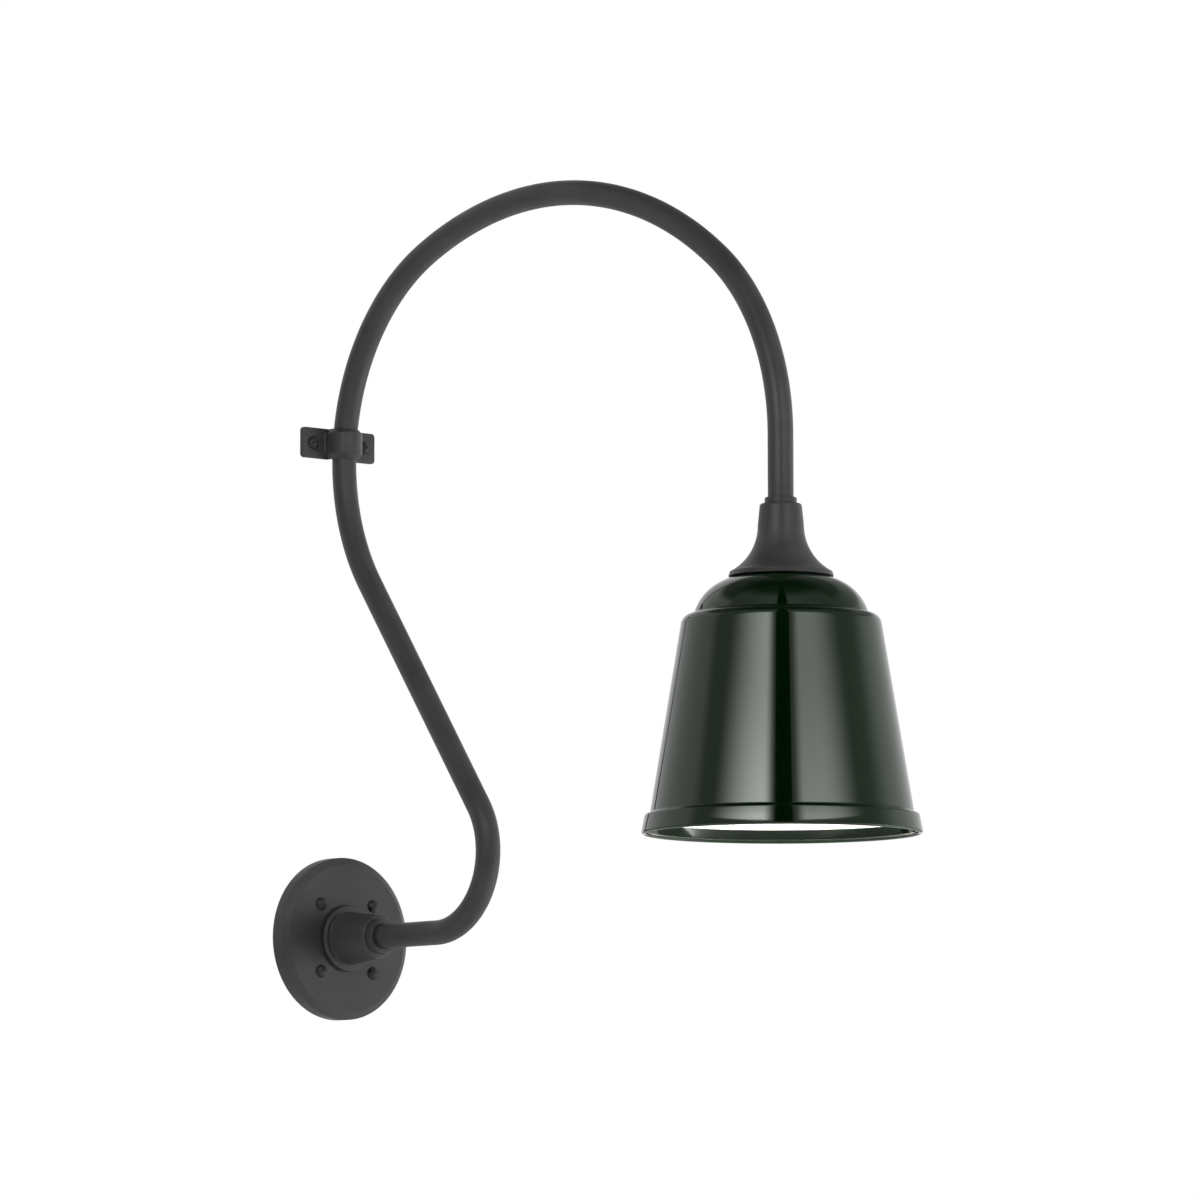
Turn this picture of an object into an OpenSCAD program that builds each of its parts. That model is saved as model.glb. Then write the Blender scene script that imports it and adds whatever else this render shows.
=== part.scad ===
// Gooseneck barn light: a bent tube arm on a round wall plate, steadied by a
// strap, with a bell shade hung from a flared neck. All sizes are millimetres.
// The origin is the centre of the wall plate on the wall plane. The light
// stands out along -Y, X runs along the wall and Z is up.

/* [Wall plate] */
// Diameter of the round wall plate
plate_d = 127; // [110:1:150]
// Straight depth of the plate's edge
plate_edge = 11.7; // [9:0.1:16]
// Depth of the bevel in front of the edge
plate_bevel_h = 3; // [1:0.1:5]
// How far the bevel comes in from the edge
plate_bevel_in = 5.35; // [2:0.05:8]
// Thickness of the plate's front wall
plate_wall = 3.5; // [3:0.1:5]
// Width of the rim that stands on the wall
plate_rim = 7; // [6.5:0.1:10]
// Rim left outside the gasket groove
gasket_inset = 2; // [1.5:0.1:3]
// Width of the wall gasket
gasket_w = 2.8; // [2:0.1:3.5]
// Height of the wall gasket
gasket_h = 1.6; // [1:0.1:3]
// Spacing of the four plate screws, both ways
plate_screw_pitch = 52.5; // [48:0.5:60]
// Diameter of the bosses round the plate screws
plate_boss_d = 10; // [8:0.5:14]
// Gap between the bosses and the wall
boss_relief = 0.5; // [0.2:0.1:1.5]
// Distance of the ground screw below the centre
ground_drop = 38; // [32:0.5:44]
// Diameter of the ground screw's boss
ground_boss_d = 9; // [8:0.5:12]
// Height of the ground screw's boss
ground_boss_h = 4; // [3:0.5:5]

/* [Round-head screws] */
// Thread diameter of the wall screws
screw_d = 4.8; // [4:0.1:5.5]
// Shank diameter of the wall screws between head and thread
screw_neck_d = 4.2; // [3.5:0.1:4.8]
// Head diameter of the wall screws
head_d = 10.2; // [9:0.1:12]
// Head height of the wall screws
head_h = 3.8; // [2.5:0.1:4.5]
// Width of the slot in a head
slot_w = 1.2; // [0.8:0.1:2]
// Depth of the slot in a head
slot_depth = 1.6; // [0.8:0.1:2]
// How far the screws reach behind the wall plane
screw_reach = 20; // [12:1:40]
// Gap round a wall screw's thread in its hole
screw_gap = 0.25; // [0.1:0.05:0.5]

/* [Hub] */
// Diameter of the hub's foot ring
hub_foot_d = 52.2; // [46:0.2:62]
// Thickness of the hub's foot ring
hub_foot_h = 4.5; // [3:0.1:7]
// Hub diameter where it leaves the foot ring
hub_root_d = 41.4; // [36:0.2:45]
// Hub diameter just behind its rounded nose
hub_nose_d = 34.4; // [31:0.2:36]
// Length of the hub from the plate to its nose
hub_len = 39.6; // [36:0.2:48]
// Radius of the hub's rounded nose
hub_nose_round = 3; // [1:0.1:3.5]
// Diameter of the lip ring round the tube
hub_lip_d = 27; // [24:0.2:28]
// Length of the lip ring
hub_lip_h = 5.6; // [3:0.1:8]
// Depth of the tube's socket in the hub
hub_socket = 25; // [20:0.5:27]
// Diameter of the hollow nipple
nipple_d = 16.5; // [15:0.1:17.5]
// Bore of the hollow nipple
nipple_bore = 12; // [11:0.1:13]
// Length of nipple screwed into the hub
nipple_grip = 12; // [8:0.5:14]
// Width across the flats of the locknut
locknut_af = 24; // [22:0.5:30]
// Thickness of the locknut
locknut_h = 4.5; // [3:0.1:5]

/* [Arm] */
// Outside diameter of the arm tube
tube_d = 19.05; // [17:0.05:21]
// Wall of the arm tube
tube_wall = 1.6; // [1.2:0.1:2.2]
// Distance from the wall to the first bend
arm_out = 122; // [100:1:150]
// Radius of the bend above the plate
foot_bend_r = 60.5; // [45:0.5:75]
// Turn of that bend, back towards the wall
foot_bend_turn = 125.5; // [115:0.5:135]
// Radius of the long bend beside the strap
back_r = 170; // [140:1:185]
// Turn of the bend beside the strap
back_turn = 100.5; // [90:0.5:108]
// Radius of the bend above the shade
front_r = 180; // [140:1:200]
// Turn of the bend above the shade
front_turn = 51.5; // [40:0.5:60]
// Straight length down into the neck
arm_drop = 73.5; // [50:0.5:140]
// Distance from the wall to the shade's axis
projection = 510; // [470:1:560]
// Gap between the tube and the wall at its nearest
wall_gap = 0.3; // [0.2:0.1:3]

/* [Wall strap] */
// Width of the strap over its two ears
strap_w = 74; // [70:0.5:90]
// Height of the strap
strap_h = 24; // [18:0.5:30]
// Thickness of the ears
ear_t = 3; // [2:0.1:5]
// Corner radius of the ears
ear_round = 3; // [1:0.1:6]
// Metal round the tube
saddle_wall = 4.4; // [3:0.1:6]
// Bevel on the saddle's upper and lower edges
saddle_bevel = 3.8; // [1:0.1:4]
// Fillet between the saddle and the ears
saddle_fillet = 2; // [1:0.1:2.5]
// Spacing of the two strap screws
strap_screw_pitch = 52; // [50:0.5:60]
// Height of the strap above the tube's nearest point to the wall
strap_rise = 14; // [0:0.5:24]

/* [Neck] */
// Height of the flared neck
neck_h = 53.9; // [50:0.1:62]
// Neck diameter at its top
neck_top_d = 31.2; // [29:0.1:34]
// Rounding of the neck's top corner
neck_top_round = 2; // [0.5:0.1:3]
// Neck diameter where the flare starts
neck_waist_d = 34; // [33:0.1:38]
// Height above the shade where the flare starts
neck_waist_z = 38.1; // [36:0.1:40]
// Radius of the flare
flare_r = 39.2; // [37:0.1:44]
// Height above the shade where the flare ends
flare_foot_z = 3.5; // [3:0.1:6]
// Diameter of the neck's lower edge
neck_foot_d = 77.3; // [72:0.1:84]
// Depth of the tube's socket in the neck
neck_socket = 22; // [16:0.5:23]
// Thickness of the web under the socket
neck_web = 4; // [3:0.1:6]
// Diameter of the threaded spigot under the neck
spigot_d = 48; // [47:0.1:50]
// Wall of the spigot
spigot_wall = 3.6; // [2.5:0.1:4]
// Length of the spigot
spigot_h = 9; // [8:0.5:12]
// Diameter of the lock ring on the tube
lock_ring_d = 23.8; // [22.5:0.1:28]
// Height of the lock ring
lock_ring_h = 4.6; // [3:0.1:8]
// Bevel on the lock ring's upper edge
lock_ring_bevel = 0.9; // [0.3:0.1:1.2]

/* [Shade] */
// Thickness of the shade's metal
shade_t = 1.2; // [0.8:0.1:1.6]
// How far the flat seat reaches past the shade nut
seat_margin = 2.5; // [1:0.1:4]
// Radius of the dome's upper curve
crown_r = 50; // [46:0.5:56]
// Radius of the dome's lower curve
haunch_r = 37; // [32:0.5:42]
// Slope at which the dome's two curves meet
haunch_turn = 58; // [50:1:64]
// Diameter of the dome at the crease
dome_d = 128; // [122:0.5:136]
// Lean of the dome from upright at the crease
crease_lean = 17; // [8:0.5:25]
// Fillet in the crease
crease_fillet = 1.8; // [1:0.1:3]
// Radius of the rounded shoulder
shoulder_r = 8.2; // [6:0.1:12]
// Height of the straight cone
cone_h = 138.2; // [110:0.2:160]
// Lean of the cone from upright
cone_angle = 9.4; // [6:0.1:12]
// Fillet between the cone and the rim band
band_fillet = 2.2; // [1.5:0.1:4]
// Rounding of the rim band's upper corner
band_round = 2.2; // [2.2:0.1:3]
// Lean of the rim band from upright
band_angle = 10.6; // [5:0.1:16]
// Height of the rim band
band_h = 11; // [9:0.1:16]
// Radius of the rolled bead at the rim
bead_r = 1.7; // [1.3:0.1:2.5]

/* [Reflector and nut] */
// Thickness of the white reflector
liner_t = 0.8; // [0.5:0.1:0.8]
// Gap between the shade and the reflector
liner_gap = 0.2; // [0.1:0.05:0.3]
// How far the reflector stops above the rim
liner_stop = 10; // [6:0.5:13]
// Width of the gasket between neck and shade
seat_gasket_w = 5; // [3:0.5:6]
// Thickness of the gasket between neck and shade
seat_gasket_h = 1.2; // [0.8:0.1:2]
// Width of the shade nut's ring
nut_w = 8; // [6:0.1:9]
// Thickness of the shade nut
nut_h = 4; // [3:0.1:5]
// Number of spanner notches in the shade nut
nut_notches = 6; // [4:1:8]
// Width of a spanner notch
notch_w = 6; // [4:0.5:8]

/* [Lampholder] */
// Outside diameter of the porcelain body
holder_d = 38; // [36:0.2:39]
// Height of the porcelain above the shade's top
holder_top_z = 14; // [12:0.5:15]
// Height of the porcelain body
holder_h = 37; // [34:0.5:38]
// Thickness of the porcelain's ceiling
holder_roof = 8; // [6:0.5:10]
// Bore of the screw shell
shell_bore = 26.7; // [26.4:0.1:27]
// Wall of the screw shell
shell_t = 0.5; // [0.4:0.05:0.6]
// Length of the screw shell
shell_h = 25; // [20:0.5:28]
// Width of the shell's tab to the neutral lead
tab_w = 3.2; // [2:0.1:3.3]
// Diameter of the contact's foot
contact_d = 10; // [9.5:0.1:10.4]
// Thickness of the contact's foot
contact_foot_h = 1; // [0.6:0.1:1.5]
// Diameter of the contact's button
button_d = 5; // [4:0.1:6]
// Height of the contact from the ceiling
contact_h = 3.7; // [2.5:0.1:4.5]
// Distance of the holder's screws from the axis
holder_screw_x = 8.6; // [8.4:0.1:9]
// Shank diameter of the holder's screws
holder_screw_d = 3.5; // [3:0.1:3.6]
// Head diameter of the holder's screws
holder_head_d = 6; // [5:0.1:6]
// Head height of the holder's screws
holder_head_h = 2; // [1.5:0.1:2.5]
// Length of the holder's screws in the posts
holder_screw_grip = 9; // [6:0.5:12]
// Diameter of the posts above the porcelain
post_d = 6.4; // [6:0.1:6.4]

/* [Leads] */
// Diameter of an insulated lead
lead_d = 2.6; // [2:0.1:2.8]
// Distance of each lead from the arm's centreline
lead_x = 3.4; // [3.2:0.1:3.5]
// Distance of the leads' ends from the wall plane
lead_start = 2; // [1:0.5:5]

/* [Bulb] */
// Length of the bulb from contact to globe
bulb_l = 108; // [100:0.5:116]
// Diameter of the globe
bulb_d = 60; // [54:0.5:68]
// Height of the globe above its widest part
globe_neck_z = 15.4; // [10:0.2:20]
// Wall of the globe
globe_t = 1.2; // [0.8:0.1:2]
// Diameter over the crests of the bulb's thread
cap_d = 26.2; // [25.8:0.1:26.2]
// Height of the bulb's threaded cap
cap_h = 21; // [18:0.5:23]
// Pitch of the rings that stand for the thread
cap_pitch = 3.63; // [3:0.01:4]
// Depth of the thread
cap_thread = 0.7; // [0.4:0.1:1]
// Height of the glass insulator
insulator_h = 3.4; // [2:0.1:5]
// Diameter of the bulb's tip contact
tip_d = 9; // [7:0.1:11]
// Height of the bulb's tip contact
tip_h = 1.4; // [0.8:0.1:2.5]
// Diameter of the bulb's body next to the cap
body_neck_d = 28; // [26.8:0.1:30]
// Wall of the bulb's body
body_t = 1.6; // [1.2:0.1:2.5]
// Thickness of the light board
board_t = 1.6; // [1:0.1:2]
// Gap between the bulb's tip and the contact
tip_gap = 0.3; // [0.2:0.05:0.5]

/* [Fits] */
// Gap round the tube in its sockets
tube_gap = 0.1; // [0.05:0.01:0.2]
// Gap round a threaded piece
thread_gap = 0.1; // [0.05:0.01:0.2]
// Gap round a gasket in its groove
gasket_gap = 0.1; // [0.05:0.01:0.3]
// Gap round the tube in the strap
strap_gap = 0.15; // [0.1:0.01:0.3]
// Diameter of the set screws
set_screw_d = 4; // [3:0.1:5]
// How deep the set screws lie below the surface
set_screw_sink = 1.5; // [0.5:0.1:3]
// Key size of the set screws
set_screw_key = 2; // [1.5:0.1:2.5]

/* [Hidden] */
$fn = 96;
arc_step = 4;
over = 1;
lap = 0.5;
hair = 0.05;

neck_wall = 2.4;
neck_edge_h = 1;
seat_gasket_inset = 2.6;
holder_clear = 0.6;
holder_round = 2.5;
notch_depth = 2;
board_inset = 0.4;
board_gap = 0.05;
board_seat_w = 1.5;
chip_count = 8;
chip_w = 2.8;
chip_h = 0.7;
chip_ring_r = 15;
cap_plain = 2;
cap_wall = 0.6;
cap_grip = 6;
cap_chamfer = 1;
tip_rim = 0.7;

charcoal = [0.21, 0.21, 0.22];
enamel = [0.05, 0.09, 0.065];
rubber = [0.06, 0.06, 0.06];
steel = [0.62, 0.63, 0.65];
zinc = [0.72, 0.73, 0.74];
brass = [0.78, 0.62, 0.30];
white = [0.95, 0.94, 0.90];
opal = [0.96, 0.96, 0.93];

plate_r = plate_d / 2;
plate_front = plate_edge + plate_bevel_h;
plate_cavity = plate_front - plate_wall;
tube_r = tube_d / 2;
hub_nose = plate_front + hub_len;
hub_front = hub_nose + hub_lip_h;
hub_tube_end = hub_front - hub_socket;
nipple_front = plate_front + nipple_grip;
nipple_back = plate_cavity - locknut_h - thread_gap;

// The arm's centreline as points (distance from the wall, height).
nearest = tube_r + wall_gap;
lean = foot_bend_turn - back_turn;
dip = front_turn - 90;
diagonal = (arm_out + foot_bend_r * sin(foot_bend_turn)
            - back_r * (1 - sin(foot_bend_turn)) - nearest) / -cos(foot_bend_turn);
crown_bend_r = (projection - nearest - back_r * (1 - sin(lean)) - front_r * (1 + sin(dip)))
               / (sin(lean) - sin(dip));
crown_turn = lean - dip;
back_bend_start = [arm_out + foot_bend_r * sin(foot_bend_turn) + diagonal * cos(foot_bend_turn),
                   foot_bend_r * (1 - cos(foot_bend_turn)) + diagonal * sin(foot_bend_turn)];
back_centre = back_bend_start + back_r * [sin(foot_bend_turn), -cos(foot_bend_turn)];
strap_z = back_centre[1] + strap_rise;
strap_depth = back_centre[0] - sqrt(pow(back_r, 2) - pow(strap_rise, 2));
tube_end_z = path_end([0, 0], 0, arm_steps(0, 0))[1];

// Heights in the shade's own frame are measured from the shade's top.
shade_top_z = tube_end_z - neck_h + neck_socket;
web_top = neck_h - neck_socket;
web_bottom = web_top - neck_web;
spigot_r = spigot_d / 2;
spigot_bore_r = spigot_r - spigot_wall;
neck_foot_r = neck_foot_d / 2;
waist_r = neck_waist_d / 2;
flare_turn = asin((neck_waist_z - flare_foot_z) / flare_r);
cavity_shoulder_z = holder_top_z + holder_clear;
cavity_top_r = neck_top_d / 2 - neck_wall;
cavity_mid_z = (web_bottom + cavity_shoulder_z) / 2;
cavity_mid_r = (cavity_top_r + spigot_bore_r) / 2;
seat_groove_r = spigot_r + seat_gasket_inset;
nut_r = spigot_r + nut_w;
seat_r = nut_r + seat_margin;

dome_r = dome_d / 2;
crease_out = [cos(crease_lean), sin(crease_lean)];
haunch_c = [dome_r, 0] - haunch_r * crease_out;
crown_c = haunch_c + (haunch_r - crown_r) * [cos(haunch_turn), sin(haunch_turn)];
dome_drop = crown_c[1] + sqrt(pow(crown_r, 2) - pow(seat_r - crown_c[0], 2));
crease_c = [dome_r, -dome_drop] + crease_fillet * crease_out;
shoulder_c = crease_c - [0, crease_fillet + shoulder_r];
cone_top = shoulder_c + shoulder_r * [cos(cone_angle), sin(cone_angle)];
cone_foot = cone_top + [cone_h * tan(cone_angle), -cone_h];
fillet_c = cone_foot + band_fillet * [cos(cone_angle), sin(cone_angle)];
band_c = [fillet_c[0], fillet_c[1] - band_fillet - band_round];
band_top = band_c + band_round * [cos(band_angle), sin(band_angle)];
band_foot = band_top + [band_h * tan(band_angle), -band_h];
bead_c = band_foot - bead_r * [cos(band_angle), sin(band_angle)];
rim_z = bead_c[1] - bead_r;
liner_foot_z = rim_z + liner_stop;

holder_r = holder_d / 2;
ceiling_z = holder_top_z - holder_roof;
holder_bottom = holder_top_z - holder_h;
shell_r = shell_bore / 2 + shell_t;
holder_bore_r = shell_r + thread_gap;
tab_y = shell_r - shell_t / 2;
tip_z = ceiling_z - contact_h - tip_gap;
insulator_z = tip_z - tip_h;
cap_top_z = insulator_z - insulator_h;
cap_bottom_z = cap_top_z - cap_h;
globe_r = bulb_d / 2;
globe_z = tip_z - bulb_l + globe_r;
globe_lip_z = globe_z + globe_neck_z;
globe_lip_r = sqrt(pow(globe_r, 2) - pow(globe_neck_z, 2));
board_r = globe_lip_r - globe_t - board_inset;

// The arm's path from a distance off the wall to a length past the tube's end.
// Each step is [turn, radius] for a bend or [0, length] for a straight.
function arm_steps(start, extra) = [[0, arm_out - start], [foot_bend_turn, foot_bend_r], [0, diagonal],
                                    [-back_turn, back_r], [-crown_turn, crown_bend_r],
                                    [-front_turn, front_r], [0, arm_drop + extra]];
function step_end(p, a, s) =
    s[0] == 0 ? p + s[1] * [cos(a), sin(a)]
    : let (c = p + sign(s[0]) * s[1] * [-sin(a), cos(a)])
      c - sign(s[0]) * s[1] * [-sin(a + s[0]), cos(a + s[0])];
function path_end(p, a, steps, i = 0) =
    i == len(steps) ? p : path_end(step_end(p, a, steps[i]), a + steps[i][0], steps, i + 1);

// Points along an arc, both ends included.
function arc_points(c, r, a0, a1) =
    let (n = max(1, ceil(abs(a1 - a0) / arc_step)))
    [for (i = [0:n]) c + r * [cos(a0 + (a1 - a0) * i / n), sin(a0 + (a1 - a0) * i / n)]];

// Turns the Z axis to point out of the wall, with X kept and Y made height.
module from_wall(d = 0) {
    rotate([90, 0, 0]) translate([0, 0, d]) children();
}

// Lays the XY plane on the arm's plane: X is distance from the wall, Y height.
module arm_plane() {
    rotate([0, 0, -90]) rotate([90, 0, 0]) children();
}

// Moves to the shade's own frame.
module at_shade() {
    translate([0, -projection, shade_top_z]) children();
}

// One straight or bent length of round bar, drawn out by a lap at each end.
module bar_step(p, a, s, r, lap_in, lap_out) {
    if (s[0] == 0)
        translate([p[0], p[1], 0]) rotate([0, 0, a]) rotate([0, 90, 0]) translate([0, 0, -lap_in])
            cylinder(h = s[1] + lap_in + lap_out, r = r);
    else {
        first = a + (s[0] > 0 ? -90 : 90 + s[0]);
        lap_a = lap_in / s[1] * 180 / PI;
        translate([p[0] - sign(s[0]) * s[1] * sin(a), p[1] + sign(s[0]) * s[1] * cos(a), 0])
            rotate([0, 0, first - lap_a])
                rotate_extrude(angle = abs(s[0]) + 2 * lap_a) translate([s[1], 0]) circle(r = r);
    }
}

// A round bar along a whole path. Every other length is a hair thinner and
// laps into its neighbours, so that they join into one solid.
module bar_path(p, a, steps, r, i = 0) {
    if (i < len(steps)) {
        lapped = i % 2 == 0;
        bar_step(p, a, steps[i], lapped ? r - hair : r,
                 lapped && i > 0 ? lap : 0, lapped && i < len(steps) - 1 ? lap : 0);
        bar_path(step_end(p, a, steps[i]), a + steps[i][0], steps, r, i + 1);
    }
}

// A ring between two radii.
module ring(r_out, r_in, h) {
    difference() {
        cylinder(h = h, r = r_out);
        translate([0, 0, -over]) cylinder(h = h + 2 * over, r = r_in);
    }
}

// A round-head screw: its head's seat is at z = 0 and its shank points down.
module round_head_screw(d, hd, hh, length, groove_w, groove_h) {
    ball_r = (pow(hd / 2, 2) + pow(hh, 2)) / (2 * hh);
    translate([0, 0, -length]) cylinder(h = length, d = d);
    difference() {
        intersection() {
            translate([0, 0, hh - ball_r]) sphere(r = ball_r);
            cylinder(h = hh, d = hd);
        }
        translate([-hd / 2 - over, -groove_w / 2, hh - groove_h])
            cube([hd + 2 * over, groove_w, groove_h + over]);
    }
}

// A wall screw: a round head, a neck through the metal and a thread in the wall.
module wall_screw(seat) {
    round_head_screw(screw_neck_d, head_d, head_h, seat + over, slot_w, slot_depth);
    translate([0, 0, -seat - screw_reach]) cylinder(h = screw_reach, d = screw_d);
}

// A headless set screw along +X with a hexagon key hole in its outer end.
module set_screw(x_in, x_out) {
    rotate([0, 90, 0]) translate([0, 0, x_in]) difference() {
        cylinder(h = x_out - x_in, d = set_screw_d);
        translate([0, 0, (x_out - x_in) / 2])
            cylinder(h = x_out, d = set_screw_key / cos(30), $fn = 6);
    }
}

// The threaded hole of a set screw.
module set_screw_hole(x_out) {
    rotate([0, 90, 0]) cylinder(h = x_out, d = set_screw_d + 2 * thread_gap);
}

// The four plate screw places.
module at_plate_screws() {
    for (x = [-1, 1], z = [-1, 1])
        translate([x * plate_screw_pitch / 2, z * plate_screw_pitch / 2, 0]) children();
}

module backplate() {
    color(charcoal) from_wall() difference() {
        union() {
            difference() {
                rotate_extrude() polygon([[0, 0], [plate_r, 0], [plate_r, plate_edge],
                                          [plate_r - plate_bevel_in, plate_front], [0, plate_front]]);
                translate([0, 0, -over]) cylinder(h = plate_cavity + over, r = plate_r - plate_rim);
            }
            at_plate_screws() translate([0, 0, boss_relief])
                cylinder(h = plate_cavity - boss_relief + over, d = plate_boss_d);
            translate([0, -ground_drop, plate_cavity - ground_boss_h])
                cylinder(h = ground_boss_h + over, d = ground_boss_d);
        }
        translate([0, 0, -over]) ring(plate_r - gasket_inset, gasket_groove_r(), gasket_h + over);
        at_plate_screws() translate([0, 0, -over])
            cylinder(h = plate_front + 2 * over, d = screw_d + 2 * screw_gap);
        translate([0, 0, -over])
            cylinder(h = plate_front + 2 * over, d = nipple_d + 2 * thread_gap);
        translate([0, -ground_drop, 0])
            cylinder(h = plate_front - over, d = holder_screw_d + 2 * thread_gap);
    }
}

function gasket_groove_r() = plate_r - gasket_inset - gasket_w - 2 * gasket_gap;

module backplate_gasket() {
    color(rubber) from_wall()
        ring(plate_r - gasket_inset - gasket_gap, gasket_groove_r() + gasket_gap, gasket_h);
}

module backplate_screws() {
    color(charcoal) from_wall(plate_front) at_plate_screws() wall_screw(plate_front);
}

module ground_screw() {
    color([0.10, 0.42, 0.20]) from_wall(plate_cavity - ground_boss_h) translate([0, -ground_drop, 0])
        rotate([180, 0, 0])
            round_head_screw(holder_screw_d, holder_head_d, holder_head_h, ground_boss_h, slot_w, slot_w);
}

// Half outline of the hub, from the plate face to the lip ring.
function hub_outline() =
    let (foot_round = hub_foot_h / 2, lip_round = 1, lip_r = hub_lip_d / 2)
    concat([[0, 0], [hub_foot_d / 2 - foot_round / 2, 0]],
           arc_points([hub_foot_d / 2 - foot_round, foot_round], foot_round, -60, 90),
           [[hub_root_d / 2 + 1, hub_foot_h], [hub_root_d / 2, hub_foot_h + 1]],
           arc_points([hub_nose_d / 2 - hub_nose_round, hub_len - hub_nose_round], hub_nose_round, 6, 90),
           [[lip_r, hub_len]],
           arc_points([lip_r - lip_round, hub_len + hub_lip_h - lip_round], lip_round, 0, 90),
           [[0, hub_len + hub_lip_h]]);

module hub() {
    color(charcoal) from_wall(plate_front) difference() {
        rotate_extrude() polygon(hub_outline());
        translate([0, 0, hub_tube_end - plate_front])
            cylinder(h = hub_socket + over, r = tube_r + tube_gap);
        translate([0, 0, -over]) cylinder(h = hub_len, d = nipple_bore);
        translate([0, 0, -over])
            cylinder(h = nipple_grip + over, d = nipple_d + 2 * thread_gap);
        translate([0, 0, hub_len - hub_socket / 3]) set_screw_hole(hub_root_d);
    }
}

module hub_nipple() {
    color(zinc) from_wall(nipple_back)
        ring(nipple_d / 2, nipple_bore / 2, nipple_front - nipple_back);
}

module hub_locknut() {
    color(zinc) from_wall(plate_cavity - locknut_h) difference() {
        cylinder(h = locknut_h, d = locknut_af / cos(30), $fn = 6);
        translate([0, 0, -over])
            cylinder(h = locknut_h + 2 * over, d = nipple_d + 2 * thread_gap);
    }
}

module hub_set_screw() {
    color(steel) from_wall(hub_nose - hub_socket / 3)
        set_screw(tube_r + tube_gap / 2, hub_nose_d / 2 - set_screw_sink);
}

module arm_tube() {
    color(charcoal) arm_plane() difference() {
        bar_path([hub_tube_end, 0], 0, arm_steps(hub_tube_end, 0), tube_r);
        bar_path([hub_tube_end - over, 0], 0, arm_steps(hub_tube_end - over, over), tube_r - tube_wall);
    }
}

// Half outline of the saddle from its tube axis: a band with bevelled edges.
function saddle_half(r) = [[0, -strap_h / 2], [r - saddle_bevel, -strap_h / 2],
                           [r, saddle_bevel - strap_h / 2], [r, strap_h / 2 - saddle_bevel],
                           [r - saddle_bevel, strap_h / 2], [0, strap_h / 2]];

module strap_ears() {
    reach = [strap_w / 2 - ear_round, strap_h / 2 - ear_round];
    for (x = [-1, 1], z = [-1, 1])
        translate([x * reach[0], z * reach[1], 0]) cylinder(h = ear_t, r = ear_round);
    translate([-reach[0], -strap_h / 2, 0]) cube([2 * reach[0], strap_h, ear_t]);
    translate([-strap_w / 2, -reach[1], 0]) cube([strap_w, 2 * reach[1], ear_t]);
}

module saddle(r) {
    intersection() {
        rotate([-90, 0, 0]) translate([0, -strap_depth, 0]) rotate_extrude() polygon(saddle_half(r));
        translate([-2 * r, -strap_h, strap_depth]) cube([4 * r, 2 * strap_h, 2 * r]);
    }
    linear_extrude(strap_depth)
        polygon(concat(saddle_half(r), [for (p = reversed(saddle_half(r))) if (p[0] > 0) [-p[0], p[1]]]));
}

// The hollow corner between the saddle's side and an ear.
module saddle_fillets(r) {
    fillet_h = strap_h - 2 * saddle_bevel;
    for (side = [0, 1]) mirror([side, 0, 0])
        translate([r, fillet_h / 2, ear_t]) rotate([90, 0, 0]) linear_extrude(fillet_h) difference() {
            translate([-over, -over]) square(saddle_fillet + over);
            translate([saddle_fillet, saddle_fillet]) circle(r = saddle_fillet + hair);
        }
}

module wall_strap() {
    saddle_r = tube_r + saddle_wall;
    channel_r = tube_r + strap_gap;
    slot_r = tube_r + strap_gap / 2;
    color(charcoal) difference() {
        translate([0, 0, strap_z]) from_wall() {
            strap_ears();
            saddle(saddle_r);
            saddle_fillets(saddle_r);
        }
        arm_plane() translate([back_centre[0], back_centre[1], 0]) rotate([0, 0, 160])
            rotate_extrude(angle = 40) translate([back_r, 0]) circle(r = channel_r);
        translate([-slot_r, -strap_depth, strap_z - strap_h])
            cube([2 * slot_r, strap_depth + over, 2 * strap_h]);
        translate([0, 0, strap_z]) from_wall(-over) at_strap_screws()
            cylinder(h = ear_t + 2 * over, d = screw_d + 2 * screw_gap);
    }
}

module at_strap_screws() {
    for (x = [-1, 1]) translate([x * strap_screw_pitch / 2, 0, 0]) children();
}

module strap_screws() {
    color(charcoal) translate([0, 0, strap_z]) from_wall(ear_t) at_strap_screws() wall_screw(ear_t);
}

module neck_lock_ring() {
    r = lock_ring_d / 2;
    color(charcoal) at_shade() translate([0, 0, neck_h]) difference() {
        rotate_extrude() polygon([[0, 0], [r, 0], [r, lock_ring_h - lock_ring_bevel],
                                  [r - lock_ring_bevel, lock_ring_h], [0, lock_ring_h]]);
        translate([0, 0, -over]) cylinder(h = lock_ring_h + 2 * over, r = tube_r + tube_gap);
    }
}

// Half outline of the neck: spigot, foot, flare, waist and top.
function neck_outline() =
    concat([[0, -spigot_h], [spigot_r, -spigot_h], [spigot_r, 0], [neck_foot_r, 0],
            [neck_foot_r, neck_edge_h]],
           arc_points([waist_r + flare_r, neck_waist_z], flare_r, 180 + flare_turn, 180),
           arc_points([neck_top_d / 2 - neck_top_round, neck_h - neck_top_round], neck_top_round, 0, 90),
           [[0, neck_h]]);

module neck_cavity() {
    rotate_extrude() polygon([[0, -spigot_h - over], [spigot_bore_r, -spigot_h - over],
                              [spigot_bore_r, cavity_shoulder_z], [cavity_mid_r, cavity_mid_z],
                              [cavity_top_r, web_bottom], [0, web_bottom]]);
}

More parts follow.
